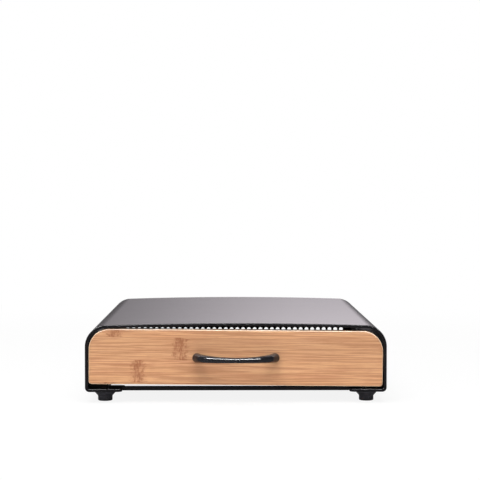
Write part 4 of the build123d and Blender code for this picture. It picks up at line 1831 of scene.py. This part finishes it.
@dataclass
class Tray:
    """Sliding tray of folded sheet with perforated walls and its travel stops, in mm."""

    half: float = 133.3
    sheet: float = 1.0
    plate: float = 1.2
    low: float = 16.2
    height: float = 32.0
    front: float = -141.9
    back: float = 158.1
    foot: float = 6.0
    rim: float = 4.0
    lip: float = 6.0
    clear: float = 0.3
    hole: float = 4.4
    pitch: float = 6.6
    rows: int = 5
    first_row: float = 4.35
    margin: float = 9.0
    bend: float = 0.8
    stop_rivet_gap: float = 10.0
    stop_rivet: Fastener = field(default_factory=lambda: Fastener(6.0, 1.0, 3.2, 2.0))

    @property
    def floor_top(self) -> float:
        """Top of the floor sheet."""
        return self.low + self.sheet

    @property
    def top(self) -> float:
        """Top of the walls."""
        return self.low + self.height

    @property
    def plate_back(self) -> float:
        """Inner face of the front plate."""
        return self.front + self.plate

    def front_plate(self) -> None:
        """Builds the front plate with its folded top edge."""
        middle = self.front + self.plate / 2
        run = [
            (middle, self.low),
            (middle, self.top - self.plate / 2),
            (self.front + self.lip, self.top - self.plate / 2),
        ]
        section = bent_sheet(run, self.plate, self.bend)
        span = self.half - self.sheet - self.clear
        mesh = sweep(section, Along.X, -span, span, "front_plate")
        Piece("tray_front_sheet", Body.DRAWER, TRAY_COAT, ("tray_front_plate",), bevel=0.12).put(mesh)

    def punched(self, mesh: bpy.types.Mesh, length: float, centre: Point2, along: Along) -> bpy.types.Mesh:
        """Punches the staggered holes of a wall.

        Args:
            mesh: The folded wall.
            length: Length of the perforated panel.
            centre: Middle of the panel in plan.
            along: Axis that the panel runs along.

        Returns:
            The perforated wall.
        """
        whole = int((length - 2 * self.margin) / self.pitch)
        columns = whole + 1
        offset = -whole / 2 * self.pitch
        row_step = self.pitch * math.sqrt(3) / 2
        first = [centre[0], centre[1], self.floor_top + self.first_row]
        first[0 if along is Along.X else 1] += offset
        pitch = (self.pitch * MM, 0.0, 0.0) if along is Along.X else (0.0, self.pitch * MM, 0.0)
        values = {
            "First Hole": [value * MM for value in first],
            "Pitch": pitch,
            "Row Step": (0.0, 0.0, row_step * MM),
            "Columns": columns,
            "Rows": self.rows,
            "Hole Diameter": self.hole * MM,
            "Punch Length": 3.0 * self.sheet * MM,
            "Aim": (math.pi / 2, 0.0, 0.0) if along is Along.X else (0.0, math.pi / 2, 0.0),
            "Finish": TRAY_COAT.material(),
        }
        return run_tree(PerforateTree.tree(), mesh, values)

    def side_walls(self) -> None:
        """Builds the two perforated side walls."""
        mid, half_sheet = self.half - self.sheet / 2, self.sheet / 2
        for side, name in ((-1, "left"), (1, "right")):
            run = [
                (side * (self.half - self.foot), self.floor_top + half_sheet),
                (side * mid, self.floor_top + half_sheet),
                (side * mid, self.top - half_sheet),
                (side * (mid - half_sheet + self.rim), self.top - half_sheet),
            ]
            wall = sweep(
                bent_sheet(run, self.sheet, self.bend), Along.Y, self.plate_back, self.back, f"wall_{name}"
            )
            centre = (side * mid, (self.plate_back + self.back) / 2)
            mesh = self.punched(wall, self.back - self.plate_back, centre, Along.Y)
            Piece(f"tray_wall_{name}_sheet", Body.DRAWER, TRAY_COAT, (f"tray_wall_{name}",)).put(mesh)

    def rear_wall(self) -> None:
        """Builds the perforated rear wall."""
        mid, half_sheet = self.back - self.sheet / 2, self.sheet / 2
        run = [
            (mid, self.floor_top + self.clear),
            (mid, self.top - half_sheet),
            (self.back - self.sheet + self.rim, self.top - half_sheet),
        ]
        span = self.half - self.sheet
        wall = sweep(bent_sheet(run, self.sheet, self.bend), Along.X, -span, span, "wall_rear")
        mesh = self.punched(wall, 2 * span, (0.0, mid), Along.X)
        on_floor = self.floor_top + half_sheet
        foot_run = [(self.back - self.foot, on_floor), (self.back - self.sheet, on_floor)]
        foot_span = self.half - self.foot - self.clear
        foot = sweep(
            bent_sheet(foot_run, self.sheet, self.bend), Along.X, -foot_span, foot_span, "wall_foot"
        )
        Piece(
            "tray_wall_rear_sheet", Body.DRAWER, TRAY_COAT, ("tray_wall_rear",)
        ).put(joined([mesh, foot], "wall_rear"))

    def floor(self) -> None:
        """Dresses the floor and the stop brackets, and sets the rivets."""
        Piece(
            "tray_floor_sheet", Body.DRAWER, TRAY_COAT, ("tray_floor",), bevel=0.1
        ).put(node_copy("tray_floor"))
        for node in ("stop_bracket_left", "stop_bracket_right"):
            Piece(f"{node}_sheet", Body.DRAWER, TRAY_COAT, (node,), bevel=0.1).put(node_copy(node))
        low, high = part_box("stop_rivets")
        reach = self.stop_rivet.head_diameter / 2
        y = (low.y + high.y) / 2 / MM
        master = self.stop_rivet.rivet()
        sets = []
        for start in (low.x / MM + reach, high.x / MM - reach - self.stop_rivet_gap):
            lattice = Lattice((start, y, self.low - self.sheet), 2, (self.stop_rivet_gap, 0.0, 0.0))
            sets.append(RepeatTree.repeat(master.copy(), lattice, ZINC))
        Piece("stop_rivet_set", Body.DRAWER, ZINC, ("stop_rivets",)).put(joined(sets, "stop_rivets"))

    def build(self) -> None:
        """Builds the tray."""
        self.front_plate()
        self.side_walls()
        self.rear_wall()
        self.floor()


# ------------------------------------------------------------------- the studio
@dataclass
class Studio:
    """Camera, lamps, floor and backdrop; lengths in metres."""

    eye: Point3 = (-0.00697, -1.45267, 0.19503)
    pitch: float = 1.926
    yaw: float = 0.473
    lens: float = 105.607
    ambient: float = 0.32
    room_gloss: float = 0.1
    backdrop_gloss: float = 2.0
    mirrored_tint: Colour = (1.0, 0.93, 0.985, 1.0)
    floor_gloss: float = 0.12
    floor_glow: Point2 = (0.88, 1.0)

    def camera(self) -> None:
        """Sets the camera at the photograph's viewing angle."""
        data = bpy.data.cameras.new("camera")
        data.lens = self.lens
        data.sensor_width = 36.0
        data.clip_start = 0.01
        made = bpy.data.objects.new("camera", data)
        made.location = self.eye
        made.rotation_euler = (math.radians(90.0 - self.pitch), 0.0, -math.radians(self.yaw))
        bpy.context.scene.collection.objects.link(made)
        bpy.context.scene.camera = made

    def lamp(
        self, name: str, place: Point3, aim: Point3, size: Point2, power: float, seen: Seen = Seen.BOTH
    ) -> None:
        """Adds a soft rectangular lamp.

        Args:
            name: Name of the lamp.
            place: Where it hangs.
            aim: Point it faces.
            size: Its width and height.
            power: Its power in watts.
            seen: What it lights.
        """
        data = bpy.data.lights.new(name, "AREA")
        data.shape = "RECTANGLE"
        data.size, data.size_y = size
        data.energy = power
        made = bpy.data.objects.new(name, data)
        made.location = place
        made.rotation_euler = (Vector(aim) - Vector(place)).to_track_quat("-Z", "Y").to_euler()
        made.visible_glossy = seen is not Seen.MATT
        made.visible_diffuse = seen is not Seen.GLOSS
        bpy.context.scene.collection.objects.link(made)

    def world(self) -> None:
        """White background that lights the object softly."""
        world = bpy.data.worlds.new("studio")
        world.use_nodes = True
        world.node_tree.nodes.clear()
        graph = Graph(world.node_tree)
        path = graph.add("ShaderNodeLightPath").outputs
        way = graph.parts(graph.add("ShaderNodeTexCoord").outputs["Generated"])
        # the studio is white behind the object and dim behind the camera
        backdrop = graph.ramp(way[1], 0.15, 0.7, (0.0, self.backdrop_gloss))
        fading = graph.ramp(way[0], -0.14, 0.12, (0.32, 1.0))
        fading = graph.math("MULTIPLY", fading, graph.ramp(way[0], 0.13, 0.3, (1.0, 0.05)))
        rising = graph.ramp(way[2], 0.05, 0.13, (0.0, 1.0))
        ceiling = graph.ramp(way[2], 0.3, 0.6, (1.0, 0.05))
        panel = graph.math("MULTIPLY", graph.math("MULTIPLY", fading, rising), ceiling)
        mirrored = graph.math("MAXIMUM", graph.math("MULTIPLY", backdrop, panel), self.room_gloss)
        strength = graph.math(
            "MULTIPLY_ADD",
            path["Is Glossy Ray"],
            graph.math("SUBTRACT", mirrored, self.ambient),
            self.ambient,
        )
        strength = graph.math(
            "MAXIMUM", strength, graph.math("MAXIMUM", path["Is Camera Ray"], path["Is Transmission Ray"])
        )
        tint = graph.mix(path["Is Glossy Ray"], (1.0, 1.0, 1.0, 1.0), self.mirrored_tint)
        glow = graph.add("ShaderNodeBackground", {"Color": tint, "Strength": strength})
        graph.add("ShaderNodeOutputWorld", {"Surface": glow.outputs[0]})
        bpy.context.scene.world = world

    def floor(self) -> None:
        """Plain pale floor that keeps the object's shadow."""
        work = bmesh.new()
        bmesh.ops.create_grid(work, x_segments=1, y_segments=1, size=6.0)
        mesh = bpy.data.meshes.new("floor")
        work.to_mesh(mesh)
        work.free()
        made = new_object("floor", mesh)
        made.location = (0.0, 0.0, -0.00005)
        finish = bpy.data.materials.new("floor")
        finish.use_nodes = True
        finish.node_tree.nodes.clear()
        graph = Graph(finish.node_tree)
        matt = graph.add("ShaderNodeBsdfDiffuse", {"Color": (0.86, 0.86, 0.86, 1.0)}).outputs[0]
        path = graph.add("ShaderNodeLightPath").outputs
        brightness = graph.math("MULTIPLY_ADD", path["Is Glossy Ray"], self.floor_gloss - 1.0, 1.0)
        glow = graph.add(
            "ShaderNodeEmission", {"Color": (1.0, 1.0, 1.0, 1.0), "Strength": brightness}
        ).outputs[0]
        direct = graph.math("MAXIMUM", path["Is Camera Ray"], path["Is Transmission Ray"])
        away = graph.add(
            "ShaderNodeVectorMath", {0: graph.object_place()}, operation="LENGTH"
        ).outputs["Value"]
        shown = graph.math("MULTIPLY", direct, graph.ramp(away, 0.25, 1.0, self.floor_glow))
        share = graph.math("MULTIPLY_ADD", path["Is Glossy Ray"], 0.85, shown)
        mixed = graph.add("ShaderNodeMixShader", {0: share, 1: matt, 2: glow}).outputs[0]
        graph.add("ShaderNodeOutputMaterial", {"Surface": mixed})
        mesh.materials.append(finish)

    def build(self) -> None:
        """Sets up the studio."""
        self.camera()
        self.world()
        self.floor()
        front = (0.0, -0.15, 0.04)
        self.lamp("overhead", (0.0, 0.1, 1.6), (0.0, 0.0, 0.0), (1.2, 0.8), 6.0)
        self.lamp("key", (-0.1, -0.75, 1.45), front, (1.6, 0.9), 23.5, Seen.MATT)
        self.lamp("strip", (-0.1, -0.85, 1.35), front, (3.4, 0.14), 190.0, Seen.GLOSS)
        self.lamp("fill", (-1.3, -1.6, 0.6), front, (0.9, 0.9), 7.0, Seen.MATT)
        bpy.context.scene.view_settings.view_transform = "Standard"


def main() -> None:
    """Builds the studio and the object."""
    logging.basicConfig(level=logging.INFO, format="%(name)s: %(message)s")
    Studio().build()
    for part in (Housing(), Feet(), BambooFront(), BowHandle(), Tray()):
        log.info("building %s", type(part).__name__)
        part.build()


if __name__ == "__main__":
    main()
